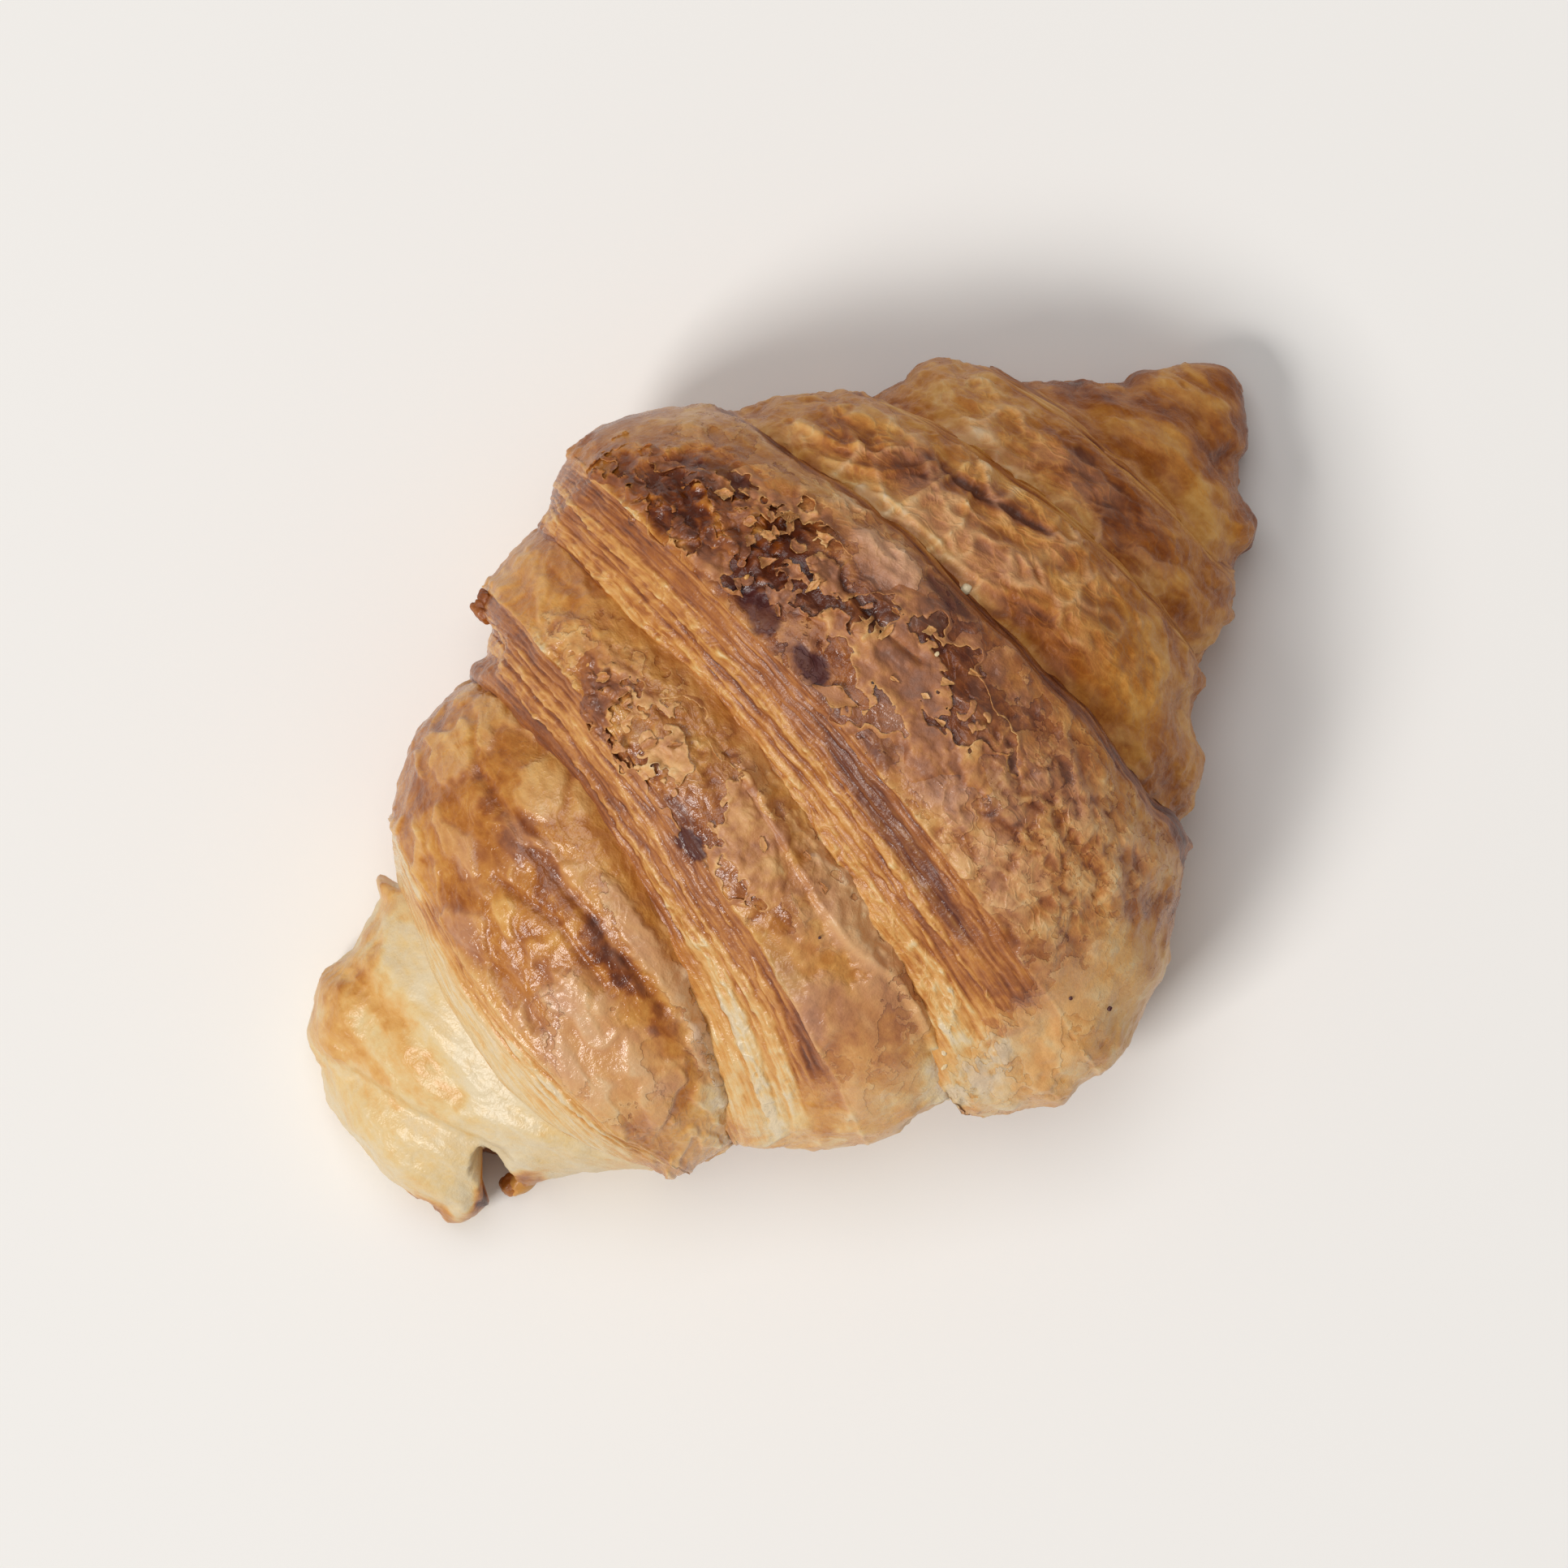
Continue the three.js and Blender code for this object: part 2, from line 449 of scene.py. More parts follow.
FOLDS = (
    Fold(((-68, 18), (-66, 8), (-62, -3)), 1.5, -2.0, brown=-0.04),
    Fold(((-71, 13), (-70.5, 4), (-69, -3)), 1.4, 0.8),
    Fold(((-58, 27), (-57, 16), (-59, 6)), 1.5, -0.6, brown=0.05),
    Fold(((-60, 4), (-56, -2), (-53, -10)), 1.3, 0.7),
    Fold(((-45, 22), (-43, 12), (-45, 2)), 0.8, -0.7, brown=0.10),
    Fold(((-26.0, 33), (-28.6, 20), (-29.6, 8), (-32, -6)), 0.8, -0.6, brown=0.08),
    Fold(((-34.5, 22), (-33, 12), (-35, 2)), 0.6, -0.5, brown=0.12),
    Fold(((-3.4, 6), (-6, -3), (-8, -10), (-9.5, -17), (-9, -25), (-12, -34)), 0.35, 0.35,
         1.0, 5.0, -0.1),
    Fold(((44.2, 16), (45.8, 8), (47.5, 0)), 0.6, -0.7, brown=0.22),
    Fold(((24, 15), (23.2, 8), (23.6, 1)), 0.6, -0.9, brown=0.22),
    Fold(((34, 28), (38, 21), (44, 17)), 0.5, 0.5, brown=-0.10),
    Fold(((34, 10), (40, 9), (46, 12)), 0.45, 0.5, brown=-0.16),
    Fold(((33.6, 25), (36, 18), (36.5, 9)), 0.45, 0.5, brown=-0.18),
    Fold(((35, 33), (37, 27), (42, 22)), 0.45, 0.5, brown=-0.14),
    Fold(((34, 17), (40, 15.5), (47, 14)), 0.4, 0.45, brown=-0.16),
    Fold(((36, 8), (37, 1), (40, -6)), 0.45, 0.4, brown=-0.12),
    Fold(((64, 10), (62, 0), (63, -12)), 1.6, -0.8),
    Fold(((70, 5), (73, -3), (71, -10)), 1.8, -0.7),
)

PATCHES = {
    Mark.BROWN: (
        Patch(-62.5, 20, 16, 5, 16, 0.08, 1.0, 0.6), Patch(-59.5, 15, 22, 5, 12, 0.07, 1.0, 0.6),
        Patch(-64, 24, 10, 6, 50, 0.08, 0.9, 0.6), Patch(-56.0, 22, 14, 4, 14, 0.07, 0.9, 0.6),
        Patch(-60, 20, 24, 14, 18, 0.08, 0.5, 0.6), Patch(-58, 29, 5, 20, -4, 0.12, 0.6, 0.6),
        Patch(-74.0, -2.0, 8, 2.8, 0, 0.55), Patch(-71.0, -6.0, 3.0, 9, 0, 0.56),
        Patch(-72.6, -2.6, 7, 2.6, 0, 0.35), Patch(-67.0, -5.0, 4.4, 2.2, 30, 0.50),
        Patch(-62.6, -8.6, 5, 6.5, 0, 0.50), Patch(-46, 34, 5, 3, 0, 0.3),
        Patch(-29, 20, 34, 4, 12, 0.16, 0.9), Patch(-32, 0, 18, 3, 6, 0.16, 0.9),
        Patch(-35, 20, 36, 11, 8, 0.08, 0.7), Patch(-45, 25, 16, 4, -18, 0.12),
        Patch(-38, 11, 14, 4, 14, 0.10), Patch(-38, -14, 5, 14, 0, 0.08),
        Patch(-46, -17, 13, 9, 0, 0.07), Patch(-42, 20, 12, 3, 20, 0.10),
        Patch(-46, 8, 20, 2.0, 4, 0.08), Patch(-32, 40, 12, 14, 0, 0.06),
        Patch(-16.2, 25, 26, 4, 6, 0.14), Patch(-18, -21, 9, 7, 20, 0.18),
        Patch(-22, -23, 10, 6, 20, 0.12), Patch(-14, -31, 7, 7, 0, 0.10),
        Patch(-27, -28, 9, 4, 20, 0.10), Patch(18.8, 30, 36, 12, -12, 0.12),
        Patch(16.5, 39, 16, 6, -12, 0.12), Patch(26, -16, 24, 7, 8, 0.10),
        Patch(28, 10, 24, 7, 0, 0.16), Patch(17, -12, 15, 14, 0, 0.10),
        Patch(19, -2, 44, 22, 0, 0.13), Patch(38, 3, 20, 9, 0, 0.08), Patch(37, -8, 14, 4, 8, 0.08),
        Patch(40.5, 20, 15, 7, -20, 0.22), Patch(46, 8, 16, 2.6, -12, 0.20),
        Patch(52, -8, 12, 4, 20, 0.10), Patch(55, -20, 8, 12, 0, 0.10),
        Patch(56.5, -3, 22, 7, 4, 0.22), Patch(65, 9, 8, 5, -40, 0.14),
        Patch(69, 2, 14, 4, -35, 0.12), Patch(72, -8, 6, 14, 0, 0.14), Patch(78, -3, 5, 5, 0, 0.12),
    ),
    Mark.PALE: (
        Patch(-57, -2, 34, 7, 4, 0.03), Patch(-53.4, 4, 46, 3.2, 3, 0.04, 0.2, 0.3),
        # The paler patch at (-42, -3) is partly painted sheen on the first lobe.
        Patch(-26.5, 6, 42, 5, 12, 0.09), Patch(-42, -3, 30, 12, 10, 0.08),
        Patch(-40, -21, 8, 16, 0, 0.12), Patch(-1.2, 18, 26, 4.4, 4, 0.08),
        Patch(-30.4, -18, 30, 11, 26, 0.34, 0.25, 0.7), Patch(-6.5, -16, 28, 5, 14, 0.10),
        Patch(-31, -30, 14, 10, 20, 0.14, 0.5), Patch(-20, -37, 12, 28, 0, 0.18, 0.5),
        # The paler patch at (28.5, -33) is painted light: it lifts the crown's low side, which
        # falls in shade.
        Patch(28.5, -33, 22, 6, 12, 0.12), Patch(10, 26, 26, 3, 4, 0.06),
        Patch(0.0, -12, 36, 3.6, 14, 0.12, 0.2, 0.3),
        Patch(-10.5, -39.5, 20, 12, 28, 0.28, 0.3, 0.7), Patch(2, -47, 16, 36, 0, 0.24),
        Patch(28, 41, 16, 9, -10, 0.10), Patch(35, 5, 30, 3, 4, 0.08),
        # The paler patch at (53, 19) is painted light: it lifts a top of the fourth lobe that falls
        # in shade.
        Patch(42, -25, 14, 10, 0, 0.07), Patch(53, 19, 14, 8, 0, 0.06),
        Patch(75, 0, 10, 5, -30, 0.06),
    ),
    Mark.SWELL: (
        Patch(-64.8, -6.2, 8, 4.4, 8, -7.0, 0.5, 0.3), Patch(-74.0, -0.6, 2.4, 3, 0, -1.4),
        Patch(-71.5, -5.5, 5, 6, 0, 0.8), Patch(-53, 32, 8, 9, 0, -1.1),
        Patch(-46.2, 33.4, 5, 2.4, 0, 2.2), Patch(-8, -50, 10, 10, 0, 1.0),
        Patch(-19, -43, 8, 10, 0, -1.2), Patch(25, -47, 12, 14, 0, -0.8),
        Patch(38, -37, 8, 9, 0, 1.2), Patch(44, -31, 8, 7, 0, -1.4), Patch(0, -52, 12, 14, 0, 1.3),
        Patch(-14, 46, 10, 6, 0, -2.2), Patch(53.5, 26.5, 7, 6, 0, 1.4),
        Patch(41, 36, 8, 6, 0, -0.4), Patch(66.8, -19.8, 8, 6, 0, 2.0),
        Patch(72, -13.5, 8, 5, 0, -1.2), Patch(69, 8, 8, 5, 0, -1.0), Patch(8, 53, 8, 14, 0, -1.4),
        Patch(-64, 27, 12, 12, 0, 2.0), Patch(32, -39, 8, 6, 0, 1.0),
        Patch(56.4, -25.4, 4, 2.6, 0, 1.0),
    ),
    Mark.SKIN: (
        Patch(-27.5, 2, 30, 4, 12, 0.5), Patch(-42, -4, 24, 12, 8, 0.5),
        Patch(-19, -26, 24, 17, -10, 0.45), Patch(-31, -15, 22, 8, 22, 0.5),
        Patch(-7, -17, 28, 8, 14, 0.6), Patch(21, 3.5, 11, 7, 0, 0.9),
        Patch(29.5, 12, 13, 6, 0, 0.9), Patch(15, -9, 16, 8, 10, 0.9),
        Patch(0, -42, 18, 26, 0, 0.5),
    ),
    Mark.SMOOTH: (
        Patch(-42, -6, 16, 13, 10, 0.5), Patch(-22, -33, 18, 30, -30, 0.7),
        Patch(14, 50, 11, 30, 0, 1.0), Patch(6, -47, 15, 36, 0, 0.7),
    ),
    Mark.FLAKY: (
        Patch(-8.5, 24, 22, 9, 6, 0.6), Patch(19.4, 29.5, 37, 14.5, -12, 1.0),
    ),
    Mark.CRUMPLE: (
        Patch(-8.0, 31, 18, 8, 6, 0.7), Patch(17.4, 37, 24, 11, -14, 1.0),
    ),
    Mark.TORN: (
        Patch(-8, 14, 44, 13, 6, 0.8), Patch(20.5, 0, 34, 18, 4, 1.0),
    ),
    Mark.BLISTER: (
        Patch(-2.5, 12, 56, 5, 2, 1.0), Patch(-6, -14, 34, 5, 14, 1.0),
    ),
    Mark.CHAR: (
        Patch(-13.8, 5.8, 5.6, 3.2, 10, 1.0, 0.6, 0.15), Patch(-12, 10, 6, 3.0, 10, 0.35),
        Patch(-8, 18, 14, 3.0, 0, 0.25), Patch(-17, -13, 10, 3, 16, 0.25),
        Patch(14.2, 20.5, 7, 3.8, 10, 0.8, 0.6, 0.15), Patch(13.4, 11, 6.4, 3.6, 0, 1.0, 0.5, 0.2),
        Patch(24.2, 35, 9, 2.2, -14, 0.6), Patch(12, -3, 8, 3, 10, 0.35),
        Patch(18, -15, 8, 5, 10, 0.25), Patch(5.2, -12, 38, 3.8, 12, 0.52, 0.15, 0.2),
        Patch(32.4, 4, 9.5, 2.2, 0, 0.75, 0.15, 0.15), Patch(43, 17, 8, 3, -30, 0.35),
        Patch(43.5, -12, 7, 3, 10, 0.22), Patch(58.3, 3.4, 4, 1.6, 0, 0.7, 0.3, 0.2),
    ),
    Mark.WRINKLE: (
        Patch(17, -25, 34, 27, 0, 1.0),
    ),
    Mark.NET: (
        Patch(39, 12, 46, 18, -10, 1.0), Patch(53, 6, 34, 12, 0, 0.8),
    ),
}
"""The marks of each kind, from the torn tip to the closed one."""


TEARS = (-0.30, -0.06, 0.18)
"""Where the skin's torn field steps up from one layer to the next."""


@dataclass(frozen=True)
class Sheet:
    """One layer of dough on a cut edge: how far from its foot it starts, how brown it is, how
    far it stands out, and how bubbly it is."""

    start: float
    tone: float
    stand: float = 0.0
    bubbly: float = 0.0


@dataclass(frozen=True)
class Bake:
    """How a turn came out of the oven."""

    brown: float
    low_side: float
    lumps: float = 1.0
    wrinkles: float = 0.5
    torn: float = 0.25
    mottle: float = 1.0
    gloss: float = 0.5
    # how brown a steep edge is: partly its sheets' own tone, partly painted shade on the drop
    edge: float = 0.66
    glaze: float = 0.5
    sheets: tuple[Sheet, ...] = (Sheet(0.0, 0.5),)
    sheets_end: float = -90.0


TORN_TURNS = ("second_lobe", "crown")
"""The turns whose skin is torn into plates and flakes."""
SHINE = {"crown": 0.35, "third_lobe": 0.14, "fourth_lobe": 0.14, "closed_tip": 0.14}
"""How strongly the duller turns shine; the others have the finish's own shine."""

BAKES = {
    "pale_tip": Bake(0.09, 0.12, 0.9, 0.4, 0.0, 0.8, 0.6, glaze=0.0),
    "first_lobe": Bake(0.44, 0.42, 0.9, 0.35, 0.0, 0.7, 0.9, glaze=0.9, sheets=(
        Sheet(0.0, 0.13), Sheet(3.4, 0.20, 0.2), Sheet(4.3, 0.27), Sheet(4.9, 0.20, 0.15, 0.8),
        Sheet(5.6, 0.36, -0.1), Sheet(6.2, 0.32),
    ), sheets_end=-17.0),
    "second_lobe": Bake(0.47, 0.18, 1.0, 0.6, 0.15, 0.9, 0.7, glaze=0.5, sheets=(
        Sheet(0.0, 0.60), Sheet(3.2, 0.50, 0.2, 1.0), Sheet(4.9, 0.60, -0.1),
        Sheet(5.6, 0.51, 0.1, 0.6), Sheet(6.8, 0.62, -0.1), Sheet(7.7, 0.54, 0.1, 0.3),
        Sheet(8.3, 0.65, -0.05), Sheet(9.3, 0.60),
    ), sheets_end=-25.0),
    "crown": Bake(0.53, 0.32, 1.0, 0.6, 0.3, 0.9, 0.7, 0.70, 0.5, sheets=(
        Sheet(0.0, 0.74, -0.1), Sheet(1.6, 0.62, 0.1), Sheet(2.6, 0.50, 0.2, 1.0),
        Sheet(4.2, 0.54, 0.1, 1.0), Sheet(5.4, 0.64, -0.1), Sheet(6.0, 0.54, 0.1, 0.5),
        Sheet(6.9, 0.68, -0.1), Sheet(7.6, 0.54, 0.15, 1.0), Sheet(9.3, 0.62, 0.05, 0.4),
        Sheet(10.3, 0.66), Sheet(12.0, 0.60, 0.1), Sheet(12.9, 0.56),
    ), sheets_end=-37.0),
    "third_lobe": Bake(0.52, 0.56, 1.0, 0.65, 0.10, 1.0, 0.75, 0.5, 0.5),
    "fourth_lobe": Bake(0.50, 0.60, 1.1, 0.65, 0.0, 1.0, 0.75, 0.5, 0.5),
    "closed_tip": Bake(0.53, 0.64, 1.0, 0.4, 0.0, 1.1, 0.75, glaze=0.5),
}


@dataclass
class Skin:
    """A stretch of crust while it is worked out, one number a point in each field.

    `whole_tone` is the browning that it would have if its skin weren't torn.
    """

    height: Array
    tone: Array
    gloss: Array
    dull: Array
    burnt: Array
    ripped: Array
    tear: Array
    crinkle: Array
    whole_tone: Array

    @classmethod
    def of(cls, **given: Array) -> "Skin":
        """Makes a stretch of crust, with 0 in the fields that aren't given."""
        none = np.zeros(len(given["height"]))
        return cls(**{field.name: given.get(field.name, none) for field in fields(cls)})

    def mixed(self, other: "Skin", share: Array) -> "Skin":
        """Mixes in another stretch of crust.

        Args:
            other: The other stretch.
            share: How much of it there is at each point, 0 to 1.

        Returns:
            The mixture.
        """
        pairs = zip(vars(self).values(), vars(other).values())
        return Skin(*(mine + (theirs - mine) * share for mine, theirs in pairs))


@dataclass
class Places:
    """Where the points of a turn lie, one row a point."""

    points: Array
    outward: Array
    laid: Array
    from_left: Array
    reached: Array


class Ground:
    """The height of the finished crust as seen from above, for what lies on it."""

    CELL = 0.5
    REACH = 90.0

    def __init__(self) -> None:
        """Starts with a bare floor."""
        size = int(2 * self.REACH / self.CELL)
        self.heights = np.zeros((size, size))

    def add(self, points: Array) -> None:
        """Lays a turn's points, in millimetres, on the map."""
        column, row = ((points[:, :2].T + self.REACH) / self.CELL).astype(int)
        np.maximum.at(self.heights, (column, row), points[:, 2])

    def under(self, places: Array) -> Array:
        """Gives the height, a little smoothed, under places seen from above.

        Args:
            places: X and Y in millimetres, one row a place.

        Returns:
            The heights.
        """
        column, row = ((places.T + self.REACH) / self.CELL - 0.5)
        steps = list(itertools.product((-0.5, 0.5, 1.5), repeat=2))
        total = np.zeros(len(places))
        for step_x, step_y in steps:
            total += self.heights[(column + step_x).astype(int), (row + step_y).astype(int)]
        return total / len(steps)


@dataclass
class DoughTurn:
    """One turn of the roll as a closed mesh with its relief and browning.

    The spacings are those of its points on the crust, on the cut edge and where it is hidden.
    """

    FINE_ANGLES = 6001
    FIELDS = 8
    FIELD_STEP = 31

    sizes: TurnSizes
    bake: Bake
    seed: int
    middle: float
    ground: Ground
    spacing: float = 0.33
    cut_spacing: float = 0.18
    hidden_spacing: float = 1.6
    pressed_level: float = 0.3
    sink: float = 2.4
    tuck_length: float = 8.0
    tuck_depth: float = 5.0
    edge_drop: float = 6.0
    widest_level: float = 0.4
    upper_squareness: float = 2.15
    lower_squareness: float = 2.7
    flattened: float = 3.2
    base_round: float = 1.6
    side_fade: float = 0.72
    inset: float = 0.4
    softening: tuple[int, ...] = (1, 2, 3, 2, 1)
    inside_level: float = 20.0
    slice_gap: float = 7.7
    underside_tone: float = 0.62
    lump_size: float = 24.0
    knob_size: float = 8.0
    skinned: bool = False

    def __post_init__(self) -> None:
        """Draws the turn's own random fields."""
        first = self.seed * self.FIELD_STEP
        self.noise = [GradientNoise(first + number) for number in range(self.FIELDS)]

    def steps_in(self, kind: End, size: float) -> list[tuple[float, float, float]]:
        """Describes an end of the turn from the middle line out to the crust.

        Args:
            kind: How the turn ends there.
            size: Half the width of the turn at that end.

        Returns:
            Steps of (millimetres inwards from the edge, drop below the crust, reach from the
            middle line, 0 to 1).
        """
        width, depth = self.sizes.face_width, self.sizes.face_depth
        if kind is End.TIP:
            lip = size * 0.42
            return [(0.7, lip, 0.0), (0.7, lip, 1.0), (1.6, size * 0.2, 1.0),
                    (3.2, size * 0.07, 1.0), (7.0, 0.0, 1.0)]
        if kind is End.FACE:
            deep = depth + self.sink
            return [(4.0, deep, 0.0), (-0.5, deep, 1.0), (width * 0.12, depth * 0.9, 1.0),
                    (width * 0.5, depth * 0.5, 1.0), (width * 0.92, depth * 0.1, 1.0),
                    (width + 1.0, -0.2, 1.0), (width + 4.0, 0.0, 1.0)]
        if kind is End.EDGE:
            drop = self.edge_drop
            return [(4.0, drop, 0.0), (-1.0, drop, 1.0), (0.0, drop / 3, 1.0),
                    (1.3, 0.5, 1.0), (4.0, 0.0, 1.0)]
        return [(0.0, self.tuck_depth, 0.0), (-self.tuck_length, self.tuck_depth, 1.0),
                (0.0, 0.4, 1.0), (4.0, 0.0, 1.0)]

    def profile(self) -> tuple[Array, Array, Array, Array]:
        """Lays out the rings of the turn from pole to pole.

        Returns:
            For each ring its share of the way along the turn, its drop, its reach, and how far
            it is from the left edge in millimetres.
        """
        sizes = self.sizes
        length = sizes.right[1] - sizes.left[1]
        first = self.steps_in(sizes.start, sizes.half_width[0])
        last = self.steps_in(sizes.end, sizes.half_width[2])
        keys = np.array(first + [(length - inwards, *rest) for inwards, *rest in reversed(last)])
        tall = through(sizes.height, within(keys[:, 0] / length))
        outwards = keys[:, 2] * tall - keys[:, 1]
        steps = np.hypot(np.diff(keys[:, 0]), np.diff(outwards))
        hidden = np.minimum(keys[1:, 2], keys[:-1, 2]) < 1.0
        at_tip = np.zeros(len(steps), bool)
        at_tip[0], at_tip[-1] = sizes.start is End.TIP, sizes.end is End.TIP
        pace = np.where(hidden & ~at_tip, self.hidden_spacing * 3, self.spacing)
        if sizes.start is End.FACE:
            on_cut = (keys[1:, 0] <= sizes.face_width + 1.0) & ~hidden
            pace = np.where(on_cut, self.cut_spacing, pace)
        counts = np.maximum(2, np.round(steps / pace)).astype(int)
        places = [np.linspace(i, i + 1, n, endpoint=False) for i, n in enumerate(counts)]
        places = np.append(np.concatenate(places), len(keys) - 1.0)
        numbers = np.arange(len(keys))
        inwards, drop, reach = (np.interp(places, numbers, column) for column in keys.T)
        kernel = np.array(self.softening) / sum(self.softening)
        for values in (inwards, drop):
            values[2:-2] = np.convolve(values, kernel, mode="valid")
        return inwards / length, drop, reach, inwards

    def angles(self) -> Array:
        """Spreads the angles round the roll evenly over the crust, sparsely under it.

        Returns:
            The angles, from straight down over the crown and round to the start.
        """
        fine = np.linspace(-0.5 * math.pi, 1.5 * math.pi, self.FINE_ANGLES)
        half_width, height = self.sizes.half_width[1], self.sizes.height[1]
        across, up = self.outline(fine)
        level = height * self.widest_level
        y = half_width * across
        z = np.where(up > 0, (height - level) * up, (level + self.flattened) * up) + level
        pace = np.where(z < self.pressed_level, self.hidden_spacing, self.spacing)
        middle = 0.5 * (pace[1:] + pace[:-1])
        travel = np.concatenate([[0.0], np.cumsum(np.hypot(np.diff(y), np.diff(z)) / middle)])
        count = int(travel[-1])
        return np.interp(np.linspace(0, travel[-1], count, endpoint=False), travel, fine)

    def outline(self, angle: Array) -> tuple[Array, Array]:
        """Gives the squared-off circle of a section.

        Args:
            angle: Round the roll from +Y over the crown.

        Returns:
            How far across and how far up, each -1 to 1.
        """
        side, rise = np.cos(angle), np.sin(angle)
        power = 2.0 / np.where(rise > 0, self.upper_squareness, self.lower_squareness)
        return np.sign(side) * np.abs(side) ** power, np.sign(rise) * np.abs(rise) ** power

    def surface(self) -> tuple[Array, Array, Array]:
        """Works out the smooth form.

        Returns:
            The points as rings by angles by 3, each ring's distance from the left edge, and
            each ring's reach.
        """
        share, drop, reach, inwards = self.profile()
        across, up = self.outline(self.angles())
        inside = within(share)
        height = through(self.sizes.height, inside)
        level = height * self.widest_level
        slant = (1.0 - across[None, :] * reach[:, None]) / 2.0
        fading = 1.0 - self.side_fade * np.abs(across[None, :]) ** 4
        sunk = np.where(drop > 0, drop, 0.0)[:, None] * fading + np.minimum(drop, 0.0)[:, None]
        sunk = sunk + self.inset
        half_width = np.maximum(through(self.sizes.half_width, inside)[:, None] - sunk, 0.0)
        above = np.maximum((height - level)[:, None] - sunk, 0.0)
        below = np.maximum((level + self.flattened)[:, None] - sunk, 0.0)
        left = through(self.sizes.left, slant)
        right = through(self.sizes.right, slant)
        x = left + (right - left) * share[:, None]
        y = through(self.sizes.sway, inside)[:, None]
        y = y + reach[:, None] * half_width * across[None, :]
        z = level[:, None] + reach[:, None] * np.where(up > 0, above * up, below * up)
        return np.stack([x, y, z], axis=2), inwards, reach

    @staticmethod
    def normals(points: Array) -> Array:
        """Gives the outward directions of a surface of rings.

        Args:
            points: Rings by angles by 3.

        Returns:
            Unit vectors in the same layout.
        """
        along = np.gradient(points, axis=0)
        around = np.roll(points, -1, axis=1) - np.roll(points, 1, axis=1)
        out = np.cross(around, along)
        size = np.linalg.norm(out, axis=2, keepdims=True)
        return out / np.maximum(size, 1e-9)

    def flow(self, points: Array) -> Array:
        """Gives each point's place on the dough laid flat.

        Args:
            points: Rings by angles by 3.

        Returns:
            Millimetres along the roll and round it from the crown, rings by angles by 2.
        """
        lengths = []
        for axis in (0, 1):
            steps = np.cumsum(np.linalg.norm(np.diff(points, axis=axis), axis=2), axis=axis)
            before = ((1, 0), (0, 0)) if axis == 0 else ((0, 0), (1, 0))
            lengths.append(np.pad(steps, before))
        along, around = lengths
        ring = points.shape[0] // 2
        crown = int(np.argmax(points[ring, :, 2]))
        return np.stack([along - along[ring], around - around[:, crown:crown + 1]], axis=2)

    @staticmethod
    def marks(mark: Mark, points: Array, frayed: Array) -> Array:
        """Adds up the patches of one kind.

        Args:
            mark: Which kind.
            points: Where, one row a point.
            frayed: A field that frays the patches' borders.

        Returns:
            The strength of the mark at each point.
        """
        return sum(patch.over(points, frayed) for patch in PATCHES[mark])

    def build(self) -> bpy.types.Object:
        """Makes the turn's mesh with its relief and the fields that its finish reads.

        Returns:
            The finished object.
        """
        grid, inwards, reach = self.surface()
        rings, columns = grid.shape[:2]
        normals = self.normals(grid)
        above = grid[rings // 2, :, 2] - self.inside_level
        if np.mean(normals[rings // 2, :, 2] * above) < 0:
            normals = -normals
        points, outward = grid.reshape(-1, 3), normals.reshape(-1, 3)
        flow = self.flow(grid).reshape(-1, 2)
        laid = np.column_stack([flow, np.full(len(flow), self.seed * self.slice_gap)])
        at = Places(points, outward, laid, np.repeat(inwards, columns), np.repeat(reach, columns))
        made = self.fields(at)
        height, whole_tone = made.pop("height"), made.pop("whole_tone")
        points = points + outward * height[:, None]
        level, bend = points[:, 2], self.base_round
        pressed = np.maximum(level, 0.0) * 0.5 + np.maximum(level + bend, 0.0) ** 2 / (8 * bend)
        points[:, 2] = np.where(level < bend, pressed, level)
        self.ground.add(points)
        self.crust = np.column_stack([points, laid, whole_tone]).reshape(rings, columns, -1)
        points[:, 0] -= self.middle
        return ring_mesh(self.sizes.name, points.reshape(rings, columns, 3) * MM, made)

    def cut_edge(self, at: Places, brown: Array) -> Skin:
        """Works out the layers on the sloping cut edge: sheets that run round the roll.

        Args:
            at: The points.
            brown: How much browner or paler the marks make them.

        Returns:
            The cut edge.
        """
        noise = self.noise
        around = at.laid[:, 1]
        none = np.zeros(len(around))
        tone, stand, bubbly = none + self.bake.sheets[0].tone, none.copy(), none.copy()
        nearest = none + FAR
        for number, sheet in enumerate(self.bake.sheets):
            line = np.column_stack([around, none + 90.0 * number, none])
            sway = 1.5 * noise[1].smooth(line, 26.0, 2) + 0.8 * noise[2].smooth(line, 6.0, 4, 0.65)
            away = at.from_left - sheet.start - sway
            past = ramp_between(-0.14, 0.14, away)
            shade = sheet.tone + 0.15 * noise[3].smooth(line, 9.0, 3)
            tone += (shade - tone) * past
            stand += (sheet.stand - stand) * past
            bubbly += (sheet.bubbly - bubbly) * past
            nearest = np.minimum(nearest, np.abs(away))
        gap = bell(nearest, 0.0, 0.15) * ramp_between(-0.4, 0.2, noise[0].smooth(at.laid, 6.0, 2))
        lip = bell(nearest, 0.36, 0.15)
        streak = noise[5].smooth(stretched(at.laid, 0.12), 0.7, 2, 0.6)
        broad = noise[6].smooth(stretched(at.laid, 0.16), 2.4, 2)
        foam = noise[4].smooth(stretched(at.laid, 0.7), 1.3, 2)
        bubbles = bubbly * ramp_between(0.10, 0.45, foam)
        fine = noise[7].smooth(stretched(at.laid, 0.6), 1.5, 3, 0.7)
        height = stand + 0.12 * ramp_between(0.0, 0.8, nearest) - 0.18 * gap
        height += 0.18 * streak + 0.30 * bubbles + 0.24 * fine
        height *= ramp_between(0.1, 0.6, at.outward[:, 2]) * 0.7 + 0.3
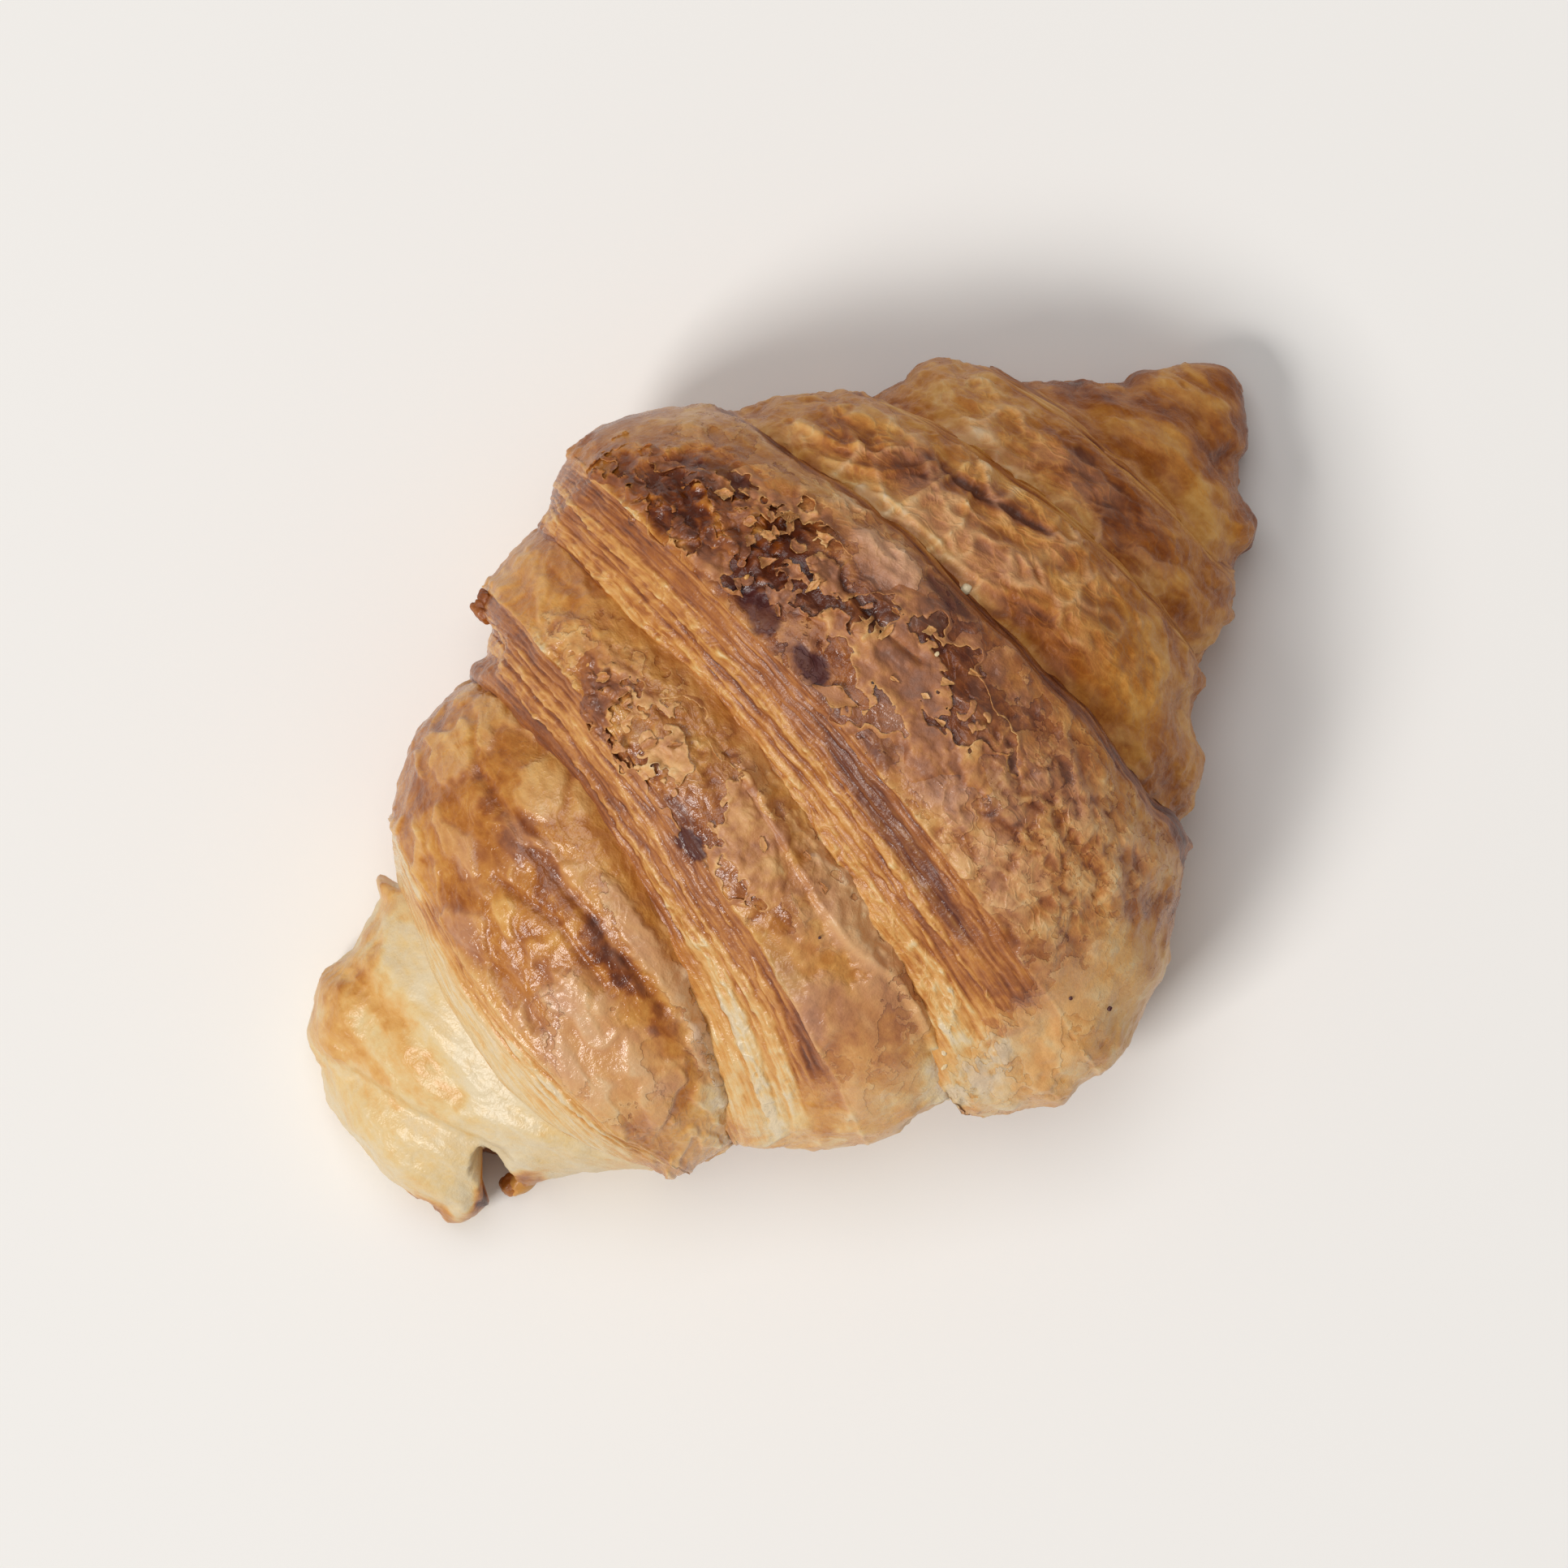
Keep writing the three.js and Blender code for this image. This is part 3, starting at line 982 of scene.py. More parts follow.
        tone = tone + brown + 0.14 * gap - 0.06 * lip - 0.20 * streak - 0.08 * broad
        tone = tone - 0.16 * bubbles - 0.12 * fine
        # painted shade: the layers darken towards the foot of the cut edge, in the crevice
        tone = tone + 0.12 * ramp_between(1.2, -0.4, at.from_left)
        return Skin.of(height=height, tone=tone, gloss=0.70 + 0.25 * gap + 0.3 * streak,
                       dull=0.20 + 0.15 * lip, crinkle=bubbly, whole_tone=tone)

    def steep_edge(self, at: Places) -> Skin:
        """Works out the thin sheets on a steep edge, dark partly from their own tone and partly
        from painted shade on the drop.

        Args:
            at: The points.

        Returns:
            The edge.
        """
        thin = self.noise[5].smooth(stretched(at.laid, 0.08), 0.8, 2, 0.6)
        tone = self.bake.edge - 0.5 * thin
        gloss = np.full(len(thin), 0.6)
        return Skin.of(height=0.5 * thin, tone=tone, gloss=gloss, whole_tone=tone)

    def whole_crust(self, at: Places, marks: dict[Mark, Array]) -> Skin:
        """Works out the skin of the crust: its wrinkles, tears, flakes and browning.

        Args:
            at: The points.
            marks: The strength of each kind of mark there.

        Returns:
            The crust.
        """
        noise, laid, bake = self.noise, at.laid, self.bake
        calm = 1.0 - 0.85 * within(marks[Mark.SMOOTH])
        wrinkled = bake.wrinkles * calm
        flaky = within(marks[Mark.FLAKY]) * calm
        whole = within(marks[Mark.SKIN])
        ripped = np.maximum(bake.torn + marks[Mark.TORN], marks[Mark.SKIN])
        ripped = ramp_between(0.1, 0.5, ripped) * calm
        under = within(np.maximum(marks[Mark.TORN], flaky)) * self.skinned
        ripped = ripped * (1.0 - under)
        net = within(marks[Mark.NET])

        # wrinkles: broad soft folds, and curled finer ones on them
        curled = noise[3].warped(laid, 6.0, 2.2)
        waves = noise[6].ridged(stretched(curled, 0.45), 6.4, 3, 0.5) - 0.52
        finer = noise[7].ridged(stretched(curled, 0.7), 2.3, 2) - 0.52
        worms = noise[4].creases(stretched(noise[2].warped(laid, 4.0, 3.0), 0.6), 3.6, 3, 4.6)
        drawn = within(marks[Mark.WRINKLE]) * calm
        height = wrinkled * (1.5 * waves + 0.34 * finer) + 0.55 * drawn * (worms - 0.5)
        valley = wrinkled * (np.maximum(-waves, 0) * 0.8 + np.maximum(-finer, 0) * 0.5)

        # plates: the skin is torn along ragged lines, and each level below is browner; where it
        # flakes the tears are finer and curled, over hollows
        curls = stretched(noise[2].warped(laid, 3.4, 2.6), 0.8)
        wide = noise[7].smooth(stretched(noise[5].warped(laid, 3.0, 1.0), 0.66), 8.0, 4, 0.6)
        close = noise[0].smooth(curls, 3.6, 3, 0.6)
        torn = wide + (close - wide) * ramp_between(0.2, 0.6, flaky) + 0.5 * whole
        ripped = np.maximum(ripped, ramp_between(0.1, 0.5, flaky) * (1.0 - self.skinned))
        levels = sum(ramp_between(level - 0.05, level + 0.05, torn) for level in TEARS)
        levels = levels / len(TEARS)
        height += ripped * (0.55 + 0.5 * flaky) * (levels - 0.6)
        rims = noise[4].creases(curls, 3.6, 2, 5.5)
        rims = rims * ramp_between(-0.30, 0.15, noise[1].smooth(laid, 3.0, 2))
        hollow = ramp_between(0.15, -0.35, noise[6].smooth(curls, 4.4, 3))
        height += flaky * (0.5 * rims - 0.6 * hollow)

        # a net of drawn skin
        inside, _ = noise[2].cells(stretched(noise[3].warped(laid, 6.0, 3.4), 0.7), 5.6)
        thread = net * bell(inside, 0.0, 0.10)
        thread = thread * ramp_between(-0.4, 0.3, noise[6].smooth(laid, 7.0, 2))
        pit = net * ramp_between(0.0, 0.8, inside)
        height += 0.40 * thread - 0.7 * pit

        # smooth plates of drawn skin, with a browner network between them
        drift = stretched(noise[5].warped(laid, 7.0, 4.0), 0.42)
        network = noise[3].creases(drift, 9.0, 3, 5.0)
        plate = bake.glaze * ramp_between(0.60, 0.25, network)
        rim = bake.glaze * bell(network, 0.22, 0.12)
        height += (0.4 * plate + 0.08 * rim) * calm

        # glossy skin crumpled into sharp folds
        crumpled = within(marks[Mark.CRUMPLE])
        bent = stretched(noise[6].warped(laid, 4.0, 2.8), 0.45)
        folds = noise[1].ridged(bent, 4.4, 3, 0.55) - 0.55
        height += 1.3 * crumpled * folds

        blisters = within(marks[Mark.BLISTER])
        blisters = blisters * ramp_between(0.0, 0.4, noise[4].smooth(laid, 1.7, 2))
        height += 0.28 * blisters

        pores = noise[2].smooth(laid, 1.2, 2, 0.6)
        height += 0.06 * pores
        cloud = noise[2].smooth(noise[1].warped(at.points, 8.0, 3.0), 10.0, 3, 0.55)
        streak = noise[1].smooth(stretched(curled, 0.2), 3.4, 3)
        low = ramp_between(26.0, 8.0, at.points[:, 2]) * ramp_between(0.5, 0.0, at.outward[:, 2])
        tone = bake.brown + (bake.low_side - bake.brown) * low
        tone = tone + bake.mottle * (0.22 * cloud + 0.16 * streak + 0.06 * pores)
        tone = tone + 0.36 * valley - 0.12 * wrinkled * np.maximum(waves, 0)
        tone = tone + 0.32 * drawn * (0.50 - worms)
        # the plate rims' slight paleness is painted highlight
        tone = tone + 0.14 * (0.65 * bake.glaze - plate) - 0.05 * rim
        whole_tone = tone
        tone = tone + flaky * (0.20 * hollow - 0.22 * rims) - 0.22 * thread + 0.14 * pit
        # crumpled skin is a little browner, and paler on its fold crests and darker in its folds:
        # painted highlight and painted shade
        tone = tone - 0.08 * blisters - crumpled * (0.06 + 0.9 * folds)
        tone = tone + under * (0.16 + 0.10 * flaky + 0.10 * cloud)
        gloss = bake.gloss + 0.35 * flaky * hollow - 0.4 * flaky * rims + 0.25 * valley
        gloss = gloss + 0.15 * cloud - 0.6 * marks[Mark.CHAR]
        # on up-facing glazed crust the pale skin colour is mixed in: partly the egg wash's own
        # colour, partly painted sheen on the tops
        glaze_and_top_sheen = bake.glaze * ramp_between(0.35, 0.85, at.outward[:, 2])
        glaze_and_top_sheen = glaze_and_top_sheen * ramp_between(-0.5, 0.3, cloud) * (1.0 - network) * (1.0 - crumpled)
        dull = within((glaze_and_top_sheen + 0.5 * whole) * (1.0 - flaky) + 1.0 * thread + 0.2 * net)
        dull = dull + 0.35 * drawn * ramp_between(0.2, 0.7, worms)
        gloss = gloss + 0.25 * under + 0.45 * crumpled
        burnt = ripped * (1.0 - flaky) * 0.30 * (1.0 - levels)
        crinkle = 0.3 * wrinkled + 0.5 * marks[Mark.TORN] + 0.9 * net + 0.6 * drawn
        crinkle = calm * within(crinkle + 0.4 * bake.glaze + crumpled)
        return Skin(height, tone, gloss, dull, burnt, ripped, 0.5 + 0.5 * torn, crinkle, whole_tone)

    def fields(self, at: Places) -> dict[str, Array]:
        """Works out the relief and the browning of the whole turn.

        Args:
            at: The points.

        Returns:
            The relief, `height`, in millimetres, and the fields that the finish reads.
        """
        noise, size = self.noise, self.sizes
        points = at.points
        top = ramp_between(-0.35, 0.3, at.outward[:, 2])
        ragged = noise[0].smooth(points, 4.0, 4, 0.6) * 2.0
        marks = {mark: self.marks(mark, points, ragged) * top for mark in Mark}
        swell = self.marks(Mark.SWELL, points, ragged * 0.5)
        fold_height, fold_brown = (sum(parts) for parts in zip(*(f.over(points) for f in FOLDS)))
        brown = marks[Mark.BROWN] - marks[Mark.PALE]

        skin = self.whole_crust(at, marks)
        skin.height += fold_height * top
        skin.tone += brown + fold_brown * top
        skin.whole_tone += 0.5 * brown
        if size.start is End.FACE:
            rim = at.from_left - size.face_width + 0.45 * noise[1].smooth(at.laid, 5.0, 4, 0.6)
            frayed = points[:, 1] + 4.0 * noise[3].smooth(stretched(at.laid, 0.15), 1.6, 3)
            on_cut = ramp_between(0.15, -0.15, rim)
            end = self.bake.sheets_end
            on_cut *= 1.0 - ramp_between(end + 3.0, end - 5.0, frayed)
            edge = bell(rim, 0.35, 0.28)
            skin.height += 0.22 * edge
            skin.tone -= 0.10 * edge
            skin = skin.mixed(self.cut_edge(at, brown), on_cut)
        else:
            on_cut = np.zeros(len(points))
        on_edge = np.zeros(len(points))
        if size.end is End.EDGE:
            to_right = size.right[1] - size.left[1] - at.from_left
            on_edge = ramp_between(1.6, 0.7, to_right + 0.5 * noise[1].smooth(at.laid, 5.0, 2))
            skin = skin.mixed(self.steep_edge(at), on_edge)

        lumps = noise[0].smooth(points, self.lump_size, 2) * 1.3
        lumps = lumps + noise[5].smooth(points, self.knob_size, 2) * 0.55
        shown = ramp_between(0.98, 1.0, at.reached)
        if End.TIP in (size.start, size.end):
            shown = ramp_between(0.0, 0.5, at.reached)
        height = (skin.height + self.bake.lumps * lumps + swell) * shown
        beneath = ramp_between(-0.6, -0.9, at.outward[:, 2])
        tone = skin.tone + (self.underside_tone - skin.tone) * beneath
        burnt = within(skin.burnt + marks[Mark.CHAR])
        return {
            "height": height - 0.25 * marks[Mark.CHAR] * shown,
            "whole_tone": skin.whole_tone,
            "bake": np.clip(tone, 0.0, DARKEST),
            "skin": within(skin.dull),
            "char": burnt,
            "layer": within(on_cut + on_edge),
            "ripped": skin.ripped,
            "tear": within(skin.tear),
            "crinkle": within(skin.crinkle),
            "gloss": within(skin.gloss),
            "along": at.laid[:, 0],
            "around": at.laid[:, 1],
        }


def as_mesh(name: str, bm: bmesh.types.BMesh) -> bpy.types.Mesh:
    """Turns a bmesh into a mesh.

    Args:
        name: The mesh's name.
        bm: The bmesh, which is freed.

    Returns:
        The mesh.
    """
    mesh = bpy.data.meshes.new(name)
    bm.to_mesh(mesh)
    bm.free()
    return mesh


def linked(name: str, data: bpy.types.ID) -> bpy.types.Object:
    """Makes an object of a mesh, a camera or a lamp, and links it to the scene."""
    thing = bpy.data.objects.new(name, data)
    bpy.context.scene.collection.objects.link(thing)
    return thing


def shaped(mesh: bpy.types.Mesh, places: Array, kept: dict[str, Array]) -> None:
    """Moves a mesh's vertices and keeps numbers on them.

    Args:
        mesh: The mesh.
        places: Where the vertices go, in metres, one row a vertex.
        kept: The numbers that the finish reads, one for each vertex.
    """
    mesh.vertices.foreach_set("co", places.astype(np.float32).ravel())
    for label, values in kept.items():
        layer = mesh.attributes.new(label, "FLOAT", "POINT")
        layer.data.foreach_set("value", values.astype(np.float32).ravel())


def closed(mesh: bpy.types.Mesh, merged: bool) -> None:
    """Turns a mesh's faces outwards and shades them smoothly.

    Args:
        mesh: The mesh.
        merged: Whether points that lie at one place are merged first.
    """
    bm = bmesh.new()
    bm.from_mesh(mesh)
    if merged:
        bmesh.ops.remove_doubles(bm, verts=bm.verts, dist=SAME_PLACE)
    bmesh.ops.recalc_face_normals(bm, faces=bm.faces)
    for face in bm.faces:
        face.smooth = True
    bm.to_mesh(mesh)
    bm.free()


def ring_mesh(name: str, places: Array, kept: dict[str, Array]) -> bpy.types.Object:
    """Wraps a grid round the roll into one closed mesh.

    Args:
        name: The piece's name.
        places: Rings by angles by 3, in metres; the first and last rings are single points.
        kept: Numbers kept on the vertices for the finish, one for each place.

    Returns:
        The object, linked to the scene, with its own UV map.
    """
    rings, columns = places.shape[:2]
    bm = bmesh.new()
    bm.loops.layers.uv.new(UV_MAP)
    bmesh.ops.create_grid(bm, x_segments=columns, y_segments=rings - 1, size=0.5, calc_uvs=True)
    mesh = as_mesh(name, bm)
    flat = np.zeros(len(mesh.vertices) * 3, np.float32)
    mesh.vertices.foreach_get("co", flat)
    across, along, _ = flat.reshape(-1, 3).T + 0.5
    column = np.rint(across * columns).astype(int) % columns
    ring = np.rint(along * (rings - 1)).astype(int)
    kept = {label: values.reshape(rings, columns)[ring, column] for label, values in kept.items()}
    shaped(mesh, places[ring, column], kept)
    closed(mesh, merged=True)
    return linked(name, mesh)


# ------------------------------------------------------------------ what lies on the crust


@dataclass
class TornSkin:
    """The thin skin of a turn where it is torn: plates with ragged edges, and curled flakes.

    It lies on the turn's crust and runs into it at the border of the torn stretch.
    """

    CHART = 0.49
    """The share of the chart's width that each side of the skin takes."""
    GROWTH = 3
    MENDING = 6
    TRIM = 0.45

    turn: DoughTurn
    seed: int
    finer: int = 2
    thickness: float = 0.13
    rest: float = 0.16
    buried: float = 0.35
    cover: float = 0.02
    least: float = 0.02
    flake: float = 4.2
    plate: float = 8.5
    curl: tuple[float, float] = (0.35, 1.0)

    def divided(self, grid: Array) -> Array:
        """Interpolates a grid between its rows and its columns.

        Args:
            grid: Rows by columns by values.

        Returns:
            A grid `finer` times as fine.
        """
        for _ in range(2):
            count = (grid.shape[0] - 1) * self.finer
            places = np.arange(count + 1) / self.finer
            base = np.minimum(places.astype(int), grid.shape[0] - 2)
            part = (places - base)[:, None, None]
            grid = (grid[base] * (1.0 - part) + grid[base + 1] * part).swapaxes(0, 1)
        return grid

    def strength(self, points: Array) -> tuple[Array, ...]:
        """Reads the marks.

        Args:
            points: Where, one row a point.

        Returns:
            How flaky, how torn, how whole, how burnt and how crumpled the skin is.
        """
        ragged = 2.2 * GradientNoise(self.seed + 9).smooth(points, 9.0, 3, 0.6)
        kinds = (Mark.FLAKY, Mark.TORN, Mark.SKIN, Mark.CHAR, Mark.CRUMPLE)
        return tuple(within(self.turn.marks(kind, points, ragged)) for kind in kinds)

    def window(self) -> Array:
        """Cuts the torn stretch out of the turn's crust.

        Returns:
            Rows by columns by values: places, places laid flat, and browning.
        """
        crust = self.turn.crust
        flat = crust.reshape(-1, crust.shape[2])
        flaky, torn = self.strength(flat[:, :3])[:2]
        over = flat[:, 2] > 0.6 * self.turn.sizes.height[1]
        inside = ((np.maximum(flaky, torn) > self.least) & over).reshape(crust.shape[:2])
        rows, columns = np.where(inside.any(1))[0], np.where(inside.any(0))[0]
        return crust[rows[0]:rows[-1] + 1, columns[0]:columns[-1] + 1]

    @staticmethod
    def without_corners(kept: Array) -> Array:
        """Drops shreds, and fills cells where two others would touch by a corner only.

        Args:
            kept: Which cells of the grid hold skin.

        Returns:
            The mended cells.
        """
        solid = kept.copy()
        solid[1:-1, 1:-1] &= kept[:-2, 1:-1] & kept[2:, 1:-1] & kept[1:-1, :-2] & kept[1:-1, 2:]
        for _ in range(TornSkin.GROWTH):
            grown = solid.copy()
            grown[1:] |= solid[:-1]
            grown[:-1] |= solid[1:]
            grown[:, 1:] |= solid[:, :-1]
            grown[:, :-1] |= solid[:, 1:]
            solid = grown & kept
        for _ in range(TornSkin.MENDING):
            rising = solid[:-1, :-1] & solid[1:, 1:] & ~solid[1:, :-1] & ~solid[:-1, 1:]
            falling = ~solid[:-1, :-1] & ~solid[1:, 1:] & solid[1:, :-1] & solid[:-1, 1:]
            solid[1:, :-1] |= rising
            solid[:-1, :-1] |= falling
        return solid

    @staticmethod
    def trimmed(places: Array, field: Array, kept: Array) -> Array:
        """Moves the skin's border onto the line where its field is 0, so that it isn't stepped.

        Args:
            places: Rows by columns by 3.
            field: How far inside the skin each place is, 0 on its border.
            kept: Which cells hold skin.

        Returns:
            The moved places.
        """
        around = np.zeros(field.shape, int)
        for rows, columns in itertools.product((slice(None, -1), slice(1, None)), repeat=2):
            around[rows, columns] += kept
        slopes = np.gradient(field)
        steep = slopes[0] ** 2 + slopes[1] ** 2 + 1e-9
        away = np.where((around > 0) & (around < 4), -field / steep, 0.0)
        for axis, slope in enumerate(slopes):
            move = np.clip(away * slope, -TornSkin.TRIM, TornSkin.TRIM)
            places = places + move[:, :, None] * np.gradient(places, axis=axis)
        return places

    def build(self) -> bpy.types.Object:
        """Makes the skin as a thin closed mesh.

        Returns:
            The piece.
        """
        grid = self.divided(self.window())
        rows, columns = grid.shape[:2]
        normals = DoughTurn.normals(grid[:, :, :3])
        normals = normals if np.mean(normals[:, :, 2]) > 0 else -normals
        points, laid = grid[:, :, :3].reshape(-1, 3), grid[:, :, 3:6].reshape(-1, 3)
        flaky, torn, whole, burnt, crumpled = self.strength(points)
        noise = [GradientNoise(self.seed + k) for k in range(6)]
        shown = ramp_between(0.05, 0.70, np.maximum(flaky, torn))
        curls = stretched(noise[2].warped(laid, 3.0, 2.6), 0.6)
        fine = noise[0].smooth(curls, self.flake, 4, 0.6)
        drift = stretched(noise[3].warped(laid, 3.0, 1.4), 0.7)
        wide = noise[1].smooth(drift, self.plate, 5, 0.62)
        kind = ramp_between(0.2, 0.6, flaky)
        field = wide + (fine - wide) * kind + self.cover + 0.24 * whole * (1.0 - kind)
        field = field + 0.8 * (1.0 - shown) - 0.06 * crumpled * shown
        field -= 0.7 * ramp_between(0.4, 0.8, burnt)
        curl = self.curl[0] + (self.curl[1] - self.curl[0]) * kind * (1.0 - 0.5 * crumpled)
        lifting = ramp_between(-0.25, 0.30, noise[4].smooth(laid, 4.0, 2))
        lift = shown ** 2 * curl * lifting * np.exp(-np.maximum(field, 0.0) / 0.09)
        crumple = 0.12 * noise[5].smooth(laid, 2.2, 3) * shown
        height = self.rest * shown - self.buried * (1.0 - shown) + lift + crumple
        points = points + normals.reshape(-1, 3) * height[:, None]
        corners = field.reshape(rows, columns)
        kept = (corners[:-1, :-1] + corners[1:, 1:] + corners[1:, :-1] + corners[:-1, 1:]) > 0
        kept &= (shown.reshape(rows, columns) > self.least)[:-1, :-1]
        patchy = noise[4].smooth(laid + 40.0, 3.4, 4, 0.6)
        patched = 0.05 + 0.9 * crumple + 0.32 * patchy + 0.12 * crumpled
        tone = grid[:, :, 6].ravel() + shown * patched
        # painted highlight: the skin is paler along its torn border, where its edge lifts
        tone = tone - 0.28 * np.exp(-np.maximum(field, 0.0) / 0.06) * shown
        read = {
            "bake": np.clip(tone, 0.0, DARKEST),
            "skin": 0.55 * shown * (1.0 - 0.7 * crumpled),
            "gloss": 0.60 - 0.30 * shown + 0.3 * patchy + 0.45 * crumpled,
            "along": laid[:, 0],
            "around": laid[:, 1],
        }
        places = points.reshape(rows, columns, 3) - np.array([self.turn.middle, 0.0, 0.0])
        self.turn.ground.add(points)
        kept = self.without_corners(kept)
        return self.slab(self.trimmed(places, corners, kept), normals, kept, read)

    def slab(self, places: Array, normals: Array, kept: Array,
             read: dict[str, Array]) -> bpy.types.Object:
        """Turns the kept cells into a thin closed slab.

        Args:
            places: Rows by columns by 3, in millimetres: the top of the skin.
            normals: The outward directions there.
            kept: Which cells hold skin.
            read: Numbers for the finish, one for each place.

        Returns:
            The object, with its own UV map.
        """
        rows, columns = places.shape[:2]
        bm = bmesh.new()
        bmesh.ops.create_grid(bm, x_segments=columns - 1, y_segments=rows - 1, size=0.5)
        bm.verts.ensure_lookup_table()
        row_of = np.rint([(v.co.y + 0.5) * (rows - 1) for v in bm.verts]).astype(int)
        column_of = np.rint([(v.co.x + 0.5) * (columns - 1) for v in bm.verts]).astype(int)
        number = bm.verts.layers.int.new("number")
        low = bm.verts.layers.int.new("low")
        for vertex, place in zip(bm.verts, (row_of * columns + column_of).tolist()):
            vertex[number] = place
        lost = []
        for face in bm.faces:
            first = min(vertex[number] for vertex in face.verts)
            if not kept[first // columns, first % columns]:
                lost.append(face)
        bmesh.ops.delete(bm, geom=lost, context="FACES")
        top = bm.faces[:]
        for made in bmesh.ops.extrude_face_region(bm, geom=top, use_keep_orig=True)["geom"]:
            if isinstance(made, bmesh.types.BMVert):
                made[low] = 1
        name = self.turn.sizes.name + "_torn_skin"
        mesh = as_mesh(name, bm)
        numbers, lows = (np.zeros(len(mesh.vertices), np.int32) for _ in range(2))
        for label, values in (("number", numbers), ("low", lows)):
            mesh.attributes[label].data.foreach_get("value", values)
            mesh.attributes.remove(mesh.attributes[label])
        drop = normals.reshape(-1, 3)[numbers] * (self.thickness * lows)[:, None]
        shaped(mesh, (places.reshape(-1, 3)[numbers] - drop) * MM,
               {label: values[numbers] for label, values in read.items()})
        corners = np.zeros(len(mesh.loops), np.int32)
        mesh.loops.foreach_get("vertex_index", corners)
        u = self.CHART * (numbers % columns) / columns + (1.0 - self.CHART) * lows
        v = (numbers // columns) / rows
        chart = np.column_stack([u[corners], v[corners]]).astype(np.float32)
        mesh.uv_layers.new(name=UV_MAP).data.foreach_set("uv", chart.ravel())
        closed(mesh, merged=False)
        return linked(name, mesh)


@dataclass(frozen=True)
class FlakeZone:
    """An oval where loose flakes of skin lie."""

    x: float
    y: float
    length: float
    width: float
    count: int
    size: float
    lift: float


@dataclass
class SmallSolids:
    """Small closed solids of one kind, each shaped from a ball, made as one piece."""

    ground: Ground
    middle: float

    @staticmethod
    def balls(count: int, subdivisions: int) -> tuple[bmesh.types.BMesh, Array]:
        """Makes balls with a radius of 1.

        Args:
            count: How many.
            subdivisions: How fine they are.

        Returns:
            The mesh, and its points as balls by points by 3.
        """
        bm = bmesh.new()
        for _ in range(count):
            bmesh.ops.create_icosphere(bm, subdivisions=subdivisions, radius=1.0)
        for face in bm.faces:
            face.smooth = True
        return bm, np.array([vertex.co[:] for vertex in bm.verts]).reshape(count, -1, 3)

    def piece(self, name: str, bm: bmesh.types.BMesh, solids: Array,
              read: dict[str, Array]) -> bpy.types.Object:
        """Gives the balls their final shape and links the piece.

        Args:
            name: The piece's name.
            bm: The mesh of the balls, which is freed.
            solids: Their points' final places, in millimetres in the dough's own frame.
            read: Numbers kept on the vertices for the finish.

        Returns:
            The object.
        """
        mesh = as_mesh(name, bm)
        solids[:, :, 0] -= self.middle
        shaped(mesh, solids.reshape(-1, 3) * MM, read)
        mesh.update()
        return linked(name, mesh)


